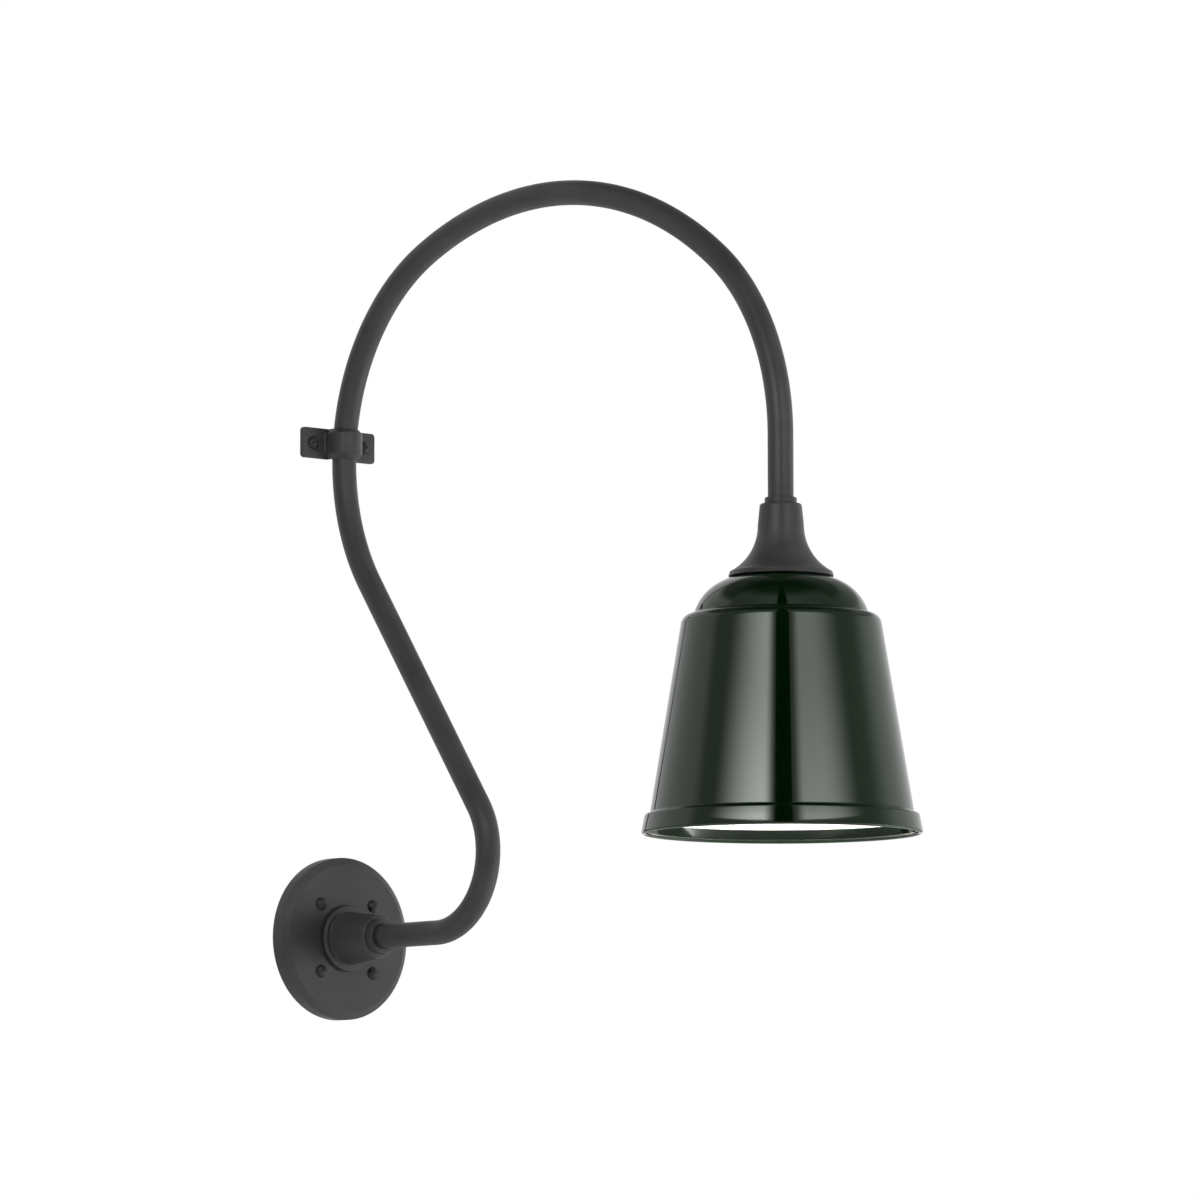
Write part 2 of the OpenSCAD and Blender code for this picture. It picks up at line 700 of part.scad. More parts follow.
module shade_neck() {
    color(charcoal) at_shade() difference() {
        union() {
            difference() {
                rotate_extrude() polygon(neck_outline());
                neck_cavity();
            }
            for (x = [-1, 1]) translate([x * holder_screw_x, 0, holder_top_z])
                cylinder(h = web_top - holder_top_z, d = post_d);
        }
        translate([0, 0, web_top]) cylinder(h = neck_socket + over, r = tube_r + tube_gap);
        translate([0, 0, web_bottom - over])
            cylinder(h = neck_web + 2 * over, d = 2 * lead_x + lead_d + 2 * screw_gap);
        for (x = [-1, 1]) translate([x * holder_screw_x, 0, holder_top_z - over])
            cylinder(h = holder_screw_grip + 2 * over, d = holder_screw_d + 2 * thread_gap);
        translate([0, 0, -over])
            ring(seat_groove_r + seat_gasket_w + 2 * gasket_gap, seat_groove_r, seat_gasket_h + over);
        translate([0, 0, neck_h - neck_socket / 2]) set_screw_hole(neck_waist_d);
    }
}

module neck_set_screw() {
    color(steel) at_shade() translate([0, 0, neck_h - neck_socket / 2])
        set_screw(tube_r + tube_gap / 2, neck_top_d / 2 - set_screw_sink);
}

module shade_gasket() {
    color(rubber) at_shade()
        ring(seat_groove_r + seat_gasket_w + gasket_gap, seat_groove_r + gasket_gap, seat_gasket_h);
}

// The bell's outline, moved in by t, from its flat top to the band's corner.
function bell_outline(t, top_z) =
    let (crown = crown_c - [0, dome_drop], haunch = haunch_c - [0, dome_drop],
         crown_start = asin((top_z - crown[1]) / (crown_r - t)))
    concat(arc_points(crown, crown_r - t, crown_start, haunch_turn),
           arc_points(haunch, haunch_r - t, haunch_turn, crease_lean),
           arc_points(crease_c, crease_fillet + t, 180 + crease_lean, 270),
           arc_points(shoulder_c, shoulder_r - t, 90, cone_angle),
           arc_points(fillet_c, band_fillet + t, 180 + cone_angle, 270),
           arc_points(band_c, max(band_round - t, 0.01), 90, band_angle));

// A point on the band's face moved in by t, at height z.
function band_point(t, z) =
    let (p = band_top - t * [cos(band_angle), sin(band_angle)])
    [p[0] + (p[1] - z) * tan(band_angle), z];

function reversed(list) = [for (i = [len(list) - 1:-1:0]) list[i]];

module shade() {
    hole_r = spigot_r + thread_gap;
    bead_end = acos((bead_r - shade_t) / bead_r) + band_angle - 360;
    color(enamel) at_shade() rotate_extrude() polygon(concat(
        [[hole_r, -shade_t], [hole_r, 0]],
        bell_outline(0, 0),
        arc_points(bead_c, bead_r, band_angle, bead_end),
        reversed(bell_outline(shade_t, -shade_t))));
}

module shade_reflector() {
    hole_r = spigot_r + thread_gap;
    outer = shade_t + liner_gap;
    inner = outer + liner_t;
    color(white) at_shade() rotate_extrude() polygon(concat(
        [[hole_r, -shade_t - liner_t], [hole_r, -shade_t]],
        bell_outline(outer, -shade_t),
        [band_point(outer, liner_foot_z), band_point(inner, liner_foot_z)],
        reversed(bell_outline(inner, -shade_t - liner_t))));
}

module shade_nut() {
    color(zinc) at_shade() translate([0, 0, -shade_t - liner_t - nut_h]) difference() {
        ring(nut_r, spigot_r + thread_gap, nut_h);
        for (i = [0:nut_notches - 1]) rotate([0, 0, i * 360 / nut_notches])
            translate([nut_r - notch_depth, -notch_w / 2, -over])
                cube([2 * notch_depth, notch_w, nut_h + 2 * over]);
    }
}

module lampholder_body() {
    color(white) at_shade() difference() {
        rotate_extrude() polygon(concat(
            [[0, holder_bottom], [holder_r - holder_round, holder_bottom]],
            arc_points([holder_r - holder_round, holder_bottom + holder_round], holder_round, -90, 0),
            arc_points([holder_r - holder_round, holder_top_z - holder_round], holder_round, 0, 90),
            [[0, holder_top_z]]));
        translate([0, 0, holder_bottom - over])
            cylinder(h = ceiling_z - holder_bottom + over, r = holder_bore_r);
        for (x = [-1, 1]) translate([x * holder_screw_x, 0, ceiling_z - over])
            cylinder(h = holder_roof + 2 * over, d = holder_screw_d + 2 * screw_gap);
        translate([-lead_x, 0, ceiling_z - over])
            cylinder(h = holder_roof + 2 * over, d = lead_d + 2 * screw_gap);
        translate([lead_x - tab_w / 2 - thread_gap, tab_y - shell_t / 2 - thread_gap, ceiling_z - over])
            cube([tab_w + 2 * thread_gap, shell_t + 2 * thread_gap, holder_roof + 2 * over]);
    }
}

module lampholder_shell() {
    color(brass) at_shade() {
        translate([0, 0, ceiling_z - shell_h]) ring(shell_r, shell_bore / 2, shell_h);
        translate([lead_x - tab_w / 2, tab_y - shell_t / 2, ceiling_z - over])
            cube([tab_w, shell_t, holder_roof + shell_t + over]);
        translate([lead_x - tab_w / 2, -tab_w / 2, holder_top_z])
            cube([tab_w, tab_y + tab_w / 2, shell_t]);
    }
}

module lampholder_contact() {
    color(brass) at_shade() {
        translate([0, 0, ceiling_z - contact_foot_h]) cylinder(h = contact_foot_h, d = contact_d);
        translate([0, 0, ceiling_z - contact_h]) cylinder(h = contact_h, d = button_d);
    }
}

module lampholder_screws() {
    color(steel) at_shade() for (x = [-1, 1])
        translate([x * holder_screw_x, 0, ceiling_z]) rotate([180, 0, 0])
            round_head_screw(holder_screw_d, holder_head_d, holder_head_h,
                             holder_roof + holder_screw_grip, slot_w, slot_w / 2);
}

// A lead inside the arm, from the plate's hollow to a height in the shade's frame.
module lead(side, end_z) {
    arm_plane() translate([0, 0, -side * lead_x])
        bar_path([lead_start, 0], 0, arm_steps(lead_start, web_top - end_z), lead_d / 2);
}

module lead_live() {
    color(rubber) lead(-1, ceiling_z);
}

module lead_neutral() {
    color(white) lead(1, holder_top_z + shell_t);
}

module bulb_globe() {
    color(opal) at_shade() translate([0, 0, globe_z]) difference() {
        sphere(r = globe_r);
        sphere(r = globe_r - globe_t);
        translate([0, 0, globe_neck_z]) cylinder(h = globe_r, r = globe_r);
    }
}

// The bulb's body, with a seat round the light board and a spigot in the cap.
module bulb_body() {
    neck_r = body_neck_d / 2;
    cap_bore_r = cap_d / 2 - cap_thread - cap_wall - board_gap;
    seat_bore_r = board_r + board_gap;
    throat_r = board_r - board_seat_w;
    shelf_z = globe_lip_z + board_t;
    color(opal) at_shade() rotate_extrude() polygon([
        [globe_lip_r, globe_lip_z], [neck_r, cap_bottom_z], [cap_bore_r, cap_bottom_z],
        [cap_bore_r, cap_bottom_z + cap_grip], [cap_bore_r - body_t, cap_bottom_z + cap_grip],
        [cap_bore_r - body_t, cap_bottom_z],
        [throat_r, shelf_z + body_t], [throat_r, shelf_z],
        [seat_bore_r, shelf_z], [seat_bore_r, globe_lip_z]]);
}

module bulb_light_board() {
    color(zinc) at_shade() translate([0, 0, globe_lip_z]) {
        cylinder(h = board_t, r = board_r);
        for (i = [0:chip_count - 1]) rotate([0, 0, i * 360 / chip_count])
            translate([chip_ring_r - chip_w / 2, -chip_w / 2, -chip_h])
                cube([chip_w, chip_w, chip_h]);
    }
}

// The cap's skirt, with rings in place of a helical thread.
module bulb_cap() {
    root_r = cap_d / 2 - cap_thread;
    rings = floor((cap_h - 2 * cap_plain) / cap_pitch);
    crest = function(z) [[root_r, z], [cap_d / 2, z + 0.35 * cap_pitch],
                         [cap_d / 2, z + 0.5 * cap_pitch], [root_r, z + 0.85 * cap_pitch]];
    color(steel) at_shade() translate([0, 0, cap_bottom_z]) rotate_extrude() polygon(concat(
        [[root_r - cap_wall, 0], [root_r, 0]],
        [for (i = [0:rings - 1]) each crest(cap_plain + i * cap_pitch)],
        [[root_r, cap_h - cap_chamfer], [root_r - cap_chamfer, cap_h], [0, cap_h],
         [0, cap_h - cap_chamfer], [root_r - cap_wall, cap_h - cap_chamfer]]));
}

module bulb_insulator() {
    color([0.12, 0.12, 0.14]) at_shade() translate([0, 0, cap_top_z])
        cylinder(h = insulator_h, r1 = cap_d / 2 - cap_thread - 1.2 * cap_chamfer,
                 r2 = tip_d / 2 + tip_rim);
}

module bulb_tip() {
    color(steel) at_shade() translate([0, 0, insulator_z])
        cylinder(h = tip_h, r1 = tip_d / 2, r2 = tip_d / 2 - tip_rim);
}

backplate();
backplate_gasket();
backplate_screws();
ground_screw();
hub();
hub_nipple();
hub_locknut();
hub_set_screw();
arm_tube();
wall_strap();
strap_screws();
neck_lock_ring();
shade_neck();
neck_set_screw();
shade_gasket();
shade();
shade_reflector();
shade_nut();
lampholder_body();
lampholder_shell();
lampholder_contact();
lampholder_screws();
lead_live();
lead_neutral();
bulb_globe();
bulb_body();
bulb_light_board();
bulb_cap();
bulb_insulator();
bulb_tip();
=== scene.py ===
"""The looks of a gooseneck barn light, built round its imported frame.

Lengths are in millimetres until they reach Blender.
"""

import math

import bpy
from mathutils import Matrix, Vector


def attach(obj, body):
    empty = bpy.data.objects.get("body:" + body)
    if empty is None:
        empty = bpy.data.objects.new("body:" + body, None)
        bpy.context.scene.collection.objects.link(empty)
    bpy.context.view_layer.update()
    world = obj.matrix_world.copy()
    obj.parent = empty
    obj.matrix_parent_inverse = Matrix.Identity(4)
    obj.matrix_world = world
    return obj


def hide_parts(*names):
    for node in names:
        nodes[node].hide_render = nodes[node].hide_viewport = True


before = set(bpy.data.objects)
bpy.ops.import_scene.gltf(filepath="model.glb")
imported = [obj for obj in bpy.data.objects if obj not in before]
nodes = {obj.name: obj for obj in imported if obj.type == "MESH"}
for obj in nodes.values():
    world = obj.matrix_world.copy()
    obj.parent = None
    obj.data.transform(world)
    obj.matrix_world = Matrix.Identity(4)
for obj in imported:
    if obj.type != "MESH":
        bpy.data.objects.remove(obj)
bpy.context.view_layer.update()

MM = 0.001
HAIR = 1e-6
TURN = 2 * math.pi

# The wall plate and the hub, measured out from the wall.
PLATE_R = 63.5
PLATE_EDGE = 11.7
PLATE_FRONT = 14.7
PLATE_BEVEL_IN = 5.35
PLATE_CAVITY = 11.2
PLATE_RIM = 7.0
PLATE_SCREW = 26.25
PLATE_HOLE_R = 2.65
BOSS_R = 5.0
BOSS_RELIEF = 0.5
GROUND_DROP = 38.0
NIPPLE_R = 8.25
HUB_LENGTH = 39.6
HUB_LIP = 5.6
HUB_SOCKET = 25.0
HUB_TUBE_END = PLATE_FRONT + HUB_LENGTH + HUB_LIP - HUB_SOCKET
SET_SCREW_HOLE_R = 2.1
SET_SCREW_HOLE = 30.0

# The arm: each step is (turn in degrees, radius) or (0, length).
TUBE_R = 9.525
TUBE_WALL = 1.6
ARM_OUT = 122.0
FOOT_BEND = (125.5, 60.5)
BACK_BEND = (-100.5, 170.0)
FRONT_BEND = (-51.5, 180.0)
ARM_DROP = 73.5
REACH = 510.0
NEAREST = TUBE_R + 0.3

# The wall strap and the screws.
STRAP_EAR = 3.0
STRAP_SCREW = 26.0
SCREW_R = 2.4
SCREW_NECK_R = 2.1
SCREW_HEAD_R = 5.1
SCREW_HEAD_H = 3.8
SCREW_REACH = 20.0
STRAP_SCREW_REACH = 8.0
SLOT_W = 1.2
SLOT_DEPTH = 1.6

# The neck and the shade, measured up from the shade's top.
NECK_H = 53.9
NECK_SOCKET = 22.0
SHADE_T = 1.2
LINER_T = 0.8
LINER_GAP = 0.2
SPIGOT_R = 24.0
HOLDER_TOP = 14.0
HOLDER_H = 37.0
HOLDER_ROOF = 8.0
HOLDER_R = 19.0
HOLDER_SCREW = 8.6


def deg(angle):
    return math.radians(angle)


def cosd(angle):
    return math.cos(math.radians(angle))


def sind(angle):
    return math.sin(math.radians(angle))


def arm_steps():
    """The arm's path with the two lengths that follow from where it has to end."""
    turn, radius = FOOT_BEND
    back_r, front_r = BACK_BEND[1], FRONT_BEND[1]
    out = ARM_OUT + radius * sind(turn)
    diagonal = (out - back_r * (1 - sind(turn)) - NEAREST) / -cosd(turn)
    lean = turn + BACK_BEND[0]
    dip = -FRONT_BEND[0] - 90
    crown_r = (REACH - NEAREST - back_r * (1 - sind(lean)) - front_r * (1 + sind(dip))) / (sind(lean) - sind(dip))
    return [(0, ARM_OUT - HUB_TUBE_END), FOOT_BEND, (0, diagonal), BACK_BEND, (dip - lean, crown_r), FRONT_BEND,
            (0, ARM_DROP)]


def walk(start, steps):
    """Where each step of a path begins, as (distance from the wall, height, heading), and where the last one ends."""
    d, z, heading = start, 0.0, 0.0
    places = [(d, z, heading)]
    for turn, size in steps:
        if turn == 0:
            d, z = d + size * cosd(heading), z + size * sind(heading)
        else:
            side = math.copysign(size, turn)
            centre = (d - side * sind(heading), z + side * cosd(heading))
            heading += turn
            d, z = centre[0] + side * sind(heading), centre[1] - side * cosd(heading)
        places.append((d, z, heading))
    return places


ARM = arm_steps()
ARM_PLACES = walk(HUB_TUBE_END, ARM)
TUBE_FOOT_Z = ARM_PLACES[-1][1]
SHADE_TOP_Z = TUBE_FOOT_Z - NECK_H + NECK_SOCKET
BACK_CENTRE_Z = ARM_PLACES[3][1] - BACK_BEND[1] * cosd(ARM_PLACES[3][2])
STRAP_Z = BACK_CENTRE_Z + 14.0


# Modelling helpers.


def nothing_selected():
    if bpy.context.object and bpy.context.object.mode != "OBJECT":
        bpy.ops.object.mode_set(mode="OBJECT")
    bpy.ops.object.select_all(action="DESELECT")


def pick(piece):
    nothing_selected()
    piece.select_set(True)
    bpy.context.view_layer.objects.active = piece
    return piece


def editing(piece, how="VERT"):
    pick(piece)
    bpy.ops.object.mode_set(mode="EDIT")
    bpy.ops.mesh.select_mode(type=how)
    bpy.ops.mesh.select_all(action="SELECT")


def select_faces(piece, wanted):
    """In edit mode, selects the faces that a test on their place or normal picks."""
    bpy.ops.mesh.select_all(action="DESELECT")
    bpy.ops.object.mode_set(mode="OBJECT")
    for face in piece.data.polygons:
        face.select = wanted(face)
    bpy.ops.object.mode_set(mode="EDIT")


def done_editing():
    bpy.ops.object.mode_set(mode="OBJECT")
    return bpy.context.object


def named(piece, name):
    piece.name = name
    piece.data.name = name
    return piece


def settle(piece):
    """Puts a piece's place into its mesh."""
    pick(piece)
    bpy.ops.object.transform_apply(location=True, rotation=True, scale=True)
    return piece


def keep(piece, modifier):
    pick(piece)
    bpy.ops.object.modifier_apply(modifier=modifier.name)
    return piece


def smooth(piece, angle=32):
    pick(piece)
    bpy.ops.object.shade_smooth_by_angle(angle=deg(angle))
    return piece


def soften(piece, width, segments=2, angle=35):
    """Rounds the sharp edges a little, as paint and casting do."""
    bevel = piece.modifiers.new("soft_edges", "BEVEL")
    bevel.limit_method = "ANGLE"
    bevel.angle_limit = deg(angle)
    bevel.width = width * MM
    bevel.segments = segments
    bevel.use_clamp_overlap = True
    return keep(piece, bevel)


def cut(piece, cutter, operation="DIFFERENCE"):
    boolean = piece.modifiers.new("cut", "BOOLEAN")
    boolean.operation = operation
    boolean.object = cutter
    boolean.solver = "EXACT"
    keep(piece, boolean)
    bpy.data.objects.remove(cutter)
    return piece


def wall_rod(x, z, radius, start, end, sides=48):
    """A round bar square to the wall, from one distance off the wall to another."""
    nothing_selected()
    bpy.ops.mesh.primitive_cylinder_add(vertices=sides, radius=radius * MM, depth=(end - start) * MM,
                                        location=(x * MM, -(start + end) / 2 * MM, z * MM), rotation=(deg(90), 0, 0))
    return settle(bpy.context.object)


def upright_rod(x, y, radius, low, high, sides=48):
    """An upright round bar in the shade's frame."""
    nothing_selected()
    bpy.ops.mesh.primitive_cylinder_add(
        vertices=sides, radius=radius * MM, depth=(high - low) * MM,
        location=(x * MM, (y - REACH) * MM, (SHADE_TOP_Z + (low + high) / 2) * MM))
    return settle(bpy.context.object)


def arc(centre, radius, first, last, step=2.0):
    """Points along an arc, both ends included; angles in degrees."""
    count = max(1, math.ceil(abs(last - first) / step))
    return [(centre[0] + radius * cosd(first + (last - first) * i / count),
             centre[1] + radius * sind(first + (last - first) * i / count)) for i in range(count + 1)]


def turned(name, outline, place, axis, steps=160):
    """Turns a closed half outline of (radius, height) points: one point is drawn out along it, then spun."""
    points = [Vector(place(r, h)) * MM for r, h in outline]
    nothing_selected()
    bpy.ops.mesh.primitive_plane_add(size=MM, location=points[0])
    piece = settle(bpy.context.object)
    editing(piece)
    bpy.ops.mesh.merge(type="CENTER")
    here = points[0]
    for point in points[1:] + points[:1]:
        if (point - here).length > HAIR:
            bpy.ops.mesh.extrude_region_move(TRANSFORM_OT_translate={"value": point - here})
            here = point
    bpy.ops.mesh.select_all(action="SELECT")
    bpy.ops.mesh.remove_doubles(threshold=HAIR)
    bpy.ops.mesh.select_all(action="SELECT")
    centre = Vector(place(0, 0)) * MM
    bpy.ops.mesh.spin(steps=steps, angle=TURN, center=centre, axis=axis)
    bpy.ops.mesh.select_all(action="SELECT")
    bpy.ops.mesh.remove_doubles(threshold=HAIR)
    bpy.ops.mesh.normals_make_consistent(inside=False)
    done_editing()
    return smooth(named(piece, name))


def off_wall(r, d):
    return (r, -d, 0)


def in_shade(r, h):
    return (r, -REACH, SHADE_TOP_Z + h)


OUT = (0, -1, 0)
UP = (0, 0, 1)


def softened_copy(node, name, width, steps=2):
    """A clean copy of a CAD node with its triangles merged and its edges rounded."""
    nothing_selected()
    piece = nodes[node].copy()
    piece.data = nodes[node].data.copy()
    piece.parent = None
    for key in list(piece.keys()):
        del piece[key]
    bpy.context.scene.collection.objects.link(piece)
    named(piece, name)
    piece.data.materials.clear()
    editing(piece)
    bpy.ops.mesh.customdata_custom_splitnormals_clear()
    bpy.ops.mesh.remove_doubles(threshold=2 * HAIR)
    bpy.ops.mesh.dissolve_limited(angle_limit=deg(0.4))
    done_editing()
    soften(piece, width, steps)
    return smooth(piece, 40)


def finished(piece, body, slot, material, *replaced):
    """Hands a piece over: its finish, the body it moves with and what it stands for."""
    piece.data.materials.clear()
    piece.data.materials.append(material)
    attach(piece, body)
    if replaced:
        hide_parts(*replaced)
    return piece


# Finishes.


class Finish:
    """A node material that is built up step by step."""

    def __init__(self, name, colour, roughness, metallic=0.0, **inputs):
        self.material = bpy.data.materials.new(name)
        self.material.use_nodes = True
        self.tree = self.material.node_tree
        self.shader = self.tree.nodes["Principled BSDF"]
        self.shader.inputs["Base Color"].default_value = (*colour, 1)
        self.shader.inputs["Roughness"].default_value = roughness
        self.shader.inputs["Metallic"].default_value = metallic
        for key, value in inputs.items():
            self.shader.inputs[key.replace("_", " ")].default_value = value
        self.place = self.add("ShaderNodeTexCoord").outputs["Object"]
        self.height = None

    def add(self, kind, **settings):
        node = self.tree.nodes.new(kind)
        for key, value in settings.items():
            setattr(node, key, value)
        return node

    def link(self, source, target):
        self.tree.links.new(source, target)

    def stretched(self, scale):
        mapping = self.add("ShaderNodeMapping")
        mapping.inputs["Scale"].default_value = scale
        self.link(self.place, mapping.inputs["Vector"])
        return mapping.outputs["Vector"]

    def noise(self, scale, detail=3.0, rough=0.55, stretch=None, distortion=0.0):
        node = self.add("ShaderNodeTexNoise")
        node.inputs["Scale"].default_value = scale
        node.inputs["Detail"].default_value = detail
        node.inputs["Roughness"].default_value = rough
        node.inputs["Distortion"].default_value = distortion
        self.link(self.stretched(stretch) if stretch else self.place, node.inputs["Vector"])
        return node.outputs["Fac"]

    def ranged(self, source, low, high, start=0.3, end=0.7):
        node = self.add("ShaderNodeMapRange", interpolation_type="SMOOTHSTEP")
        node.inputs["From Min"].default_value = start
        node.inputs["From Max"].default_value = end
        node.inputs["To Min"].default_value = low
        node.inputs["To Max"].default_value = high
        self.link(source, node.inputs["Value"])
        return node.outputs["Result"]

    def vary_roughness(self, source, low, high):
        self.link(self.ranged(source, low, high), self.shader.inputs["Roughness"])
        return self

    def vary_colour(self, source, first, second, start=0.3, end=0.7):
        mix = self.add("ShaderNodeMix", data_type="RGBA")
        mix.inputs[6].default_value = (*first, 1)
        mix.inputs[7].default_value = (*second, 1)
        self.link(self.ranged(source, 0, 1, start, end), mix.inputs[0])
        self.link(mix.outputs[2], self.shader.inputs["Base Color"])
        return self

    def bump(self, source, strength, depth):
        node = self.add("ShaderNodeBump")
        node.inputs["Strength"].default_value = strength
        node.inputs["Distance"].default_value = depth * MM
        self.link(source, node.inputs["Height"])
        if self.height:
            self.link(self.height, node.inputs["Normal"])
        self.height = node.outputs["Normal"]
        self.link(self.height, self.shader.inputs["Normal"])
        return self


def shade_of(colour, factor):
    return tuple(min(1, c * factor) for c in colour)


def powder_coat(name, colour, smoothest, roughest):
    coat = Finish(name, colour, smoothest, Specular_IOR_Level=0.3)
    coat.vary_colour(coat.noise(26, 4), shade_of(colour, 0.9), shade_of(colour, 1.12))
    coat.vary_roughness(coat.noise(60, 3), smoothest, roughest)
    coat.bump(coat.noise(900, 2), 0.25, 0.05)
    coat.bump(coat.noise(2600, 2), 0.2, 0.03)
    return coat.material


def gloss_enamel():
    colour = (0.0007, 0.0058, 0.0009)
    tint = (0.92, 1.0, 0.91, 1)
    coat = Finish("green_gloss_enamel", colour, 0.06, Specular_IOR_Level=0.5, Specular_Tint=tint)
    coat.vary_colour(coat.noise(18, 3), shade_of(colour, 0.92), shade_of(colour, 1.1))
    coat.vary_roughness(coat.noise(45, 3), 0.045, 0.065)
    coat.bump(coat.noise(320, 2), 0.04, 0.02)
    return coat.material


def white_enamel():
    colour = (0.82, 0.805, 0.75)
    coat = Finish("white_enamel", colour, 0.32)
    coat.vary_colour(coat.noise(30, 3), shade_of(colour, 0.97), colour)
    coat.vary_roughness(coat.noise(50, 3), 0.28, 0.38)
    coat.bump(coat.noise(500, 2), 0.15, 0.02)
    return coat.material


def rubber_foam():
    colour = (0.018, 0.018, 0.018)
    foam = Finish("gasket_foam", colour, 0.85)
    foam.vary_colour(foam.noise(900, 2), shade_of(colour, 0.7), shade_of(colour, 1.5))
    foam.bump(foam.noise(1800, 2), 0.6, 0.1)
    return foam.material


def plated(name, colour, roughness, grain=(1, 1, 1)):
    metal = Finish(name, colour, roughness, metallic=1.0)
    metal.vary_colour(metal.noise(120, 4), shade_of(colour, 0.88), shade_of(colour, 1.05))
    metal.vary_roughness(metal.noise(220, 3), roughness * 0.8, min(1, roughness * 1.3))
    metal.bump(metal.noise(1500, 2, stretch=grain), 0.2, 0.02)
    return metal.material


def glazed(name, colour):
    glaze = Finish(name, colour, 0.14)
    glaze.vary_colour(glaze.noise(70, 3), shade_of(colour, 0.95), colour)
    glaze.vary_roughness(glaze.noise(90, 2), 0.1, 0.2)
    glaze.bump(glaze.noise(160, 2), 0.12, 0.05)
    return glaze.material


def moulded(name, colour, roughness, grain=1400, transmission=0.0):
    plastic = Finish(name, colour, roughness, Transmission_Weight=transmission)
    plastic.vary_colour(plastic.noise(60, 2), shade_of(colour, 0.96), colour)
    plastic.vary_roughness(plastic.noise(120, 2), roughness * 0.9, min(1, roughness * 1.15))
    plastic.bump(plastic.noise(grain, 2), 0.18, 0.015)
    return plastic.material


CHARCOAL = powder_coat("charcoal_powder_coat", (0.027, 0.027, 0.0272), 0.38, 0.46)
# The screw heads wear the same charcoal coat as the plate; this smoother copy has a darker colour that paints in the
# shade the heads show.
SCREW_COAT_PAINTED_SHADE = powder_coat("charcoal_coat_painted_shade", (0.014, 0.014, 0.0142), 0.26, 0.34)
ENAMEL = gloss_enamel()
WHITE = white_enamel()
FOAM = rubber_foam()
ZINC = plated("zinc_plate", (0.62, 0.63, 0.65), 0.34, (1, 1, 4))
BLACK_OXIDE = plated("black_oxide", (0.05, 0.05, 0.055), 0.45)
BRASS = plated("lampholder_brass", (0.74, 0.56, 0.25), 0.3)
NICKEL = plated("cap_nickel", (0.70, 0.69, 0.66), 0.26)
PORCELAIN = glazed("glazed_porcelain", (0.86, 0.85, 0.81))
VITRITE = glazed("black_glass", (0.012, 0.012, 0.016))
OPAL = moulded("opal_globe", (0.66, 0.66, 0.64), 0.42, 1800)
BULB_WHITE = moulded("bulb_body_plastic", (0.70, 0.70, 0.68), 0.36)
BLACK_WIRE = moulded("black_wire", (0.02, 0.02, 0.02), 0.48, 700)
WHITE_WIRE = moulded("white_wire", (0.82, 0.82, 0.80), 0.48, 700)
GREEN_SCREW = moulded("green_ground_screw", (0.03, 0.20, 0.07), 0.35)
BOARD = plated("light_board", (0.80, 0.81, 0.82), 0.4)


# Wall plate and hub.


def wall_plate():
    round_r = 0.5
    groove_out = PLATE_R - 2.0
    groove_in = groove_out - 3.0
    groove_h = 1.6
    hollow_r = PLATE_R - PLATE_RIM
    bevel = math.degrees(math.atan2(PLATE_FRONT - PLATE_EDGE, PLATE_BEVEL_IN))
    lip = round_r * math.tan(deg(90 - bevel) / 2)
    crest = round_r * math.tan(deg(bevel) / 2)
    outline = [(0, PLATE_CAVITY), (hollow_r - round_r, PLATE_CAVITY), (hollow_r, PLATE_CAVITY - round_r),
               (hollow_r, 0), (groove_in, 0), (groove_in, groove_h), (groove_out, groove_h), (groove_out, 0)]
    outline += arc((PLATE_R - round_r, round_r), round_r, -90, 0, 15)
    outline += arc((PLATE_R - round_r, PLATE_EDGE - lip), round_r, 0, 90 - bevel, 10)
    inner = PLATE_R - PLATE_BEVEL_IN
    outline += arc((inner - crest, PLATE_FRONT - round_r), round_r, 90 - bevel, 90, 8)
    outline += [(0, PLATE_FRONT)]
    plate = turned("wall_plate", outline, off_wall, OUT, 192)
    for x in (-PLATE_SCREW, PLATE_SCREW):
        for z in (-PLATE_SCREW, PLATE_SCREW):
            cut(plate, wall_rod(x, z, BOSS_R, BOSS_RELIEF, PLATE_CAVITY + 1), "UNION")
            cut(plate, wall_rod(x, z, PLATE_HOLE_R, -1, PLATE_FRONT + 1))
    cut(plate, wall_rod(0, -GROUND_DROP, 4.5, PLATE_CAVITY - 4, PLATE_CAVITY + 1), "UNION")
    cut(plate, wall_rod(0, -GROUND_DROP, 1.85, 0, PLATE_FRONT - 1))
    cut(plate, wall_rod(0, 0, NIPPLE_R + 0.1, -1, PLATE_FRONT + 1, 64))
    return smooth(plate)


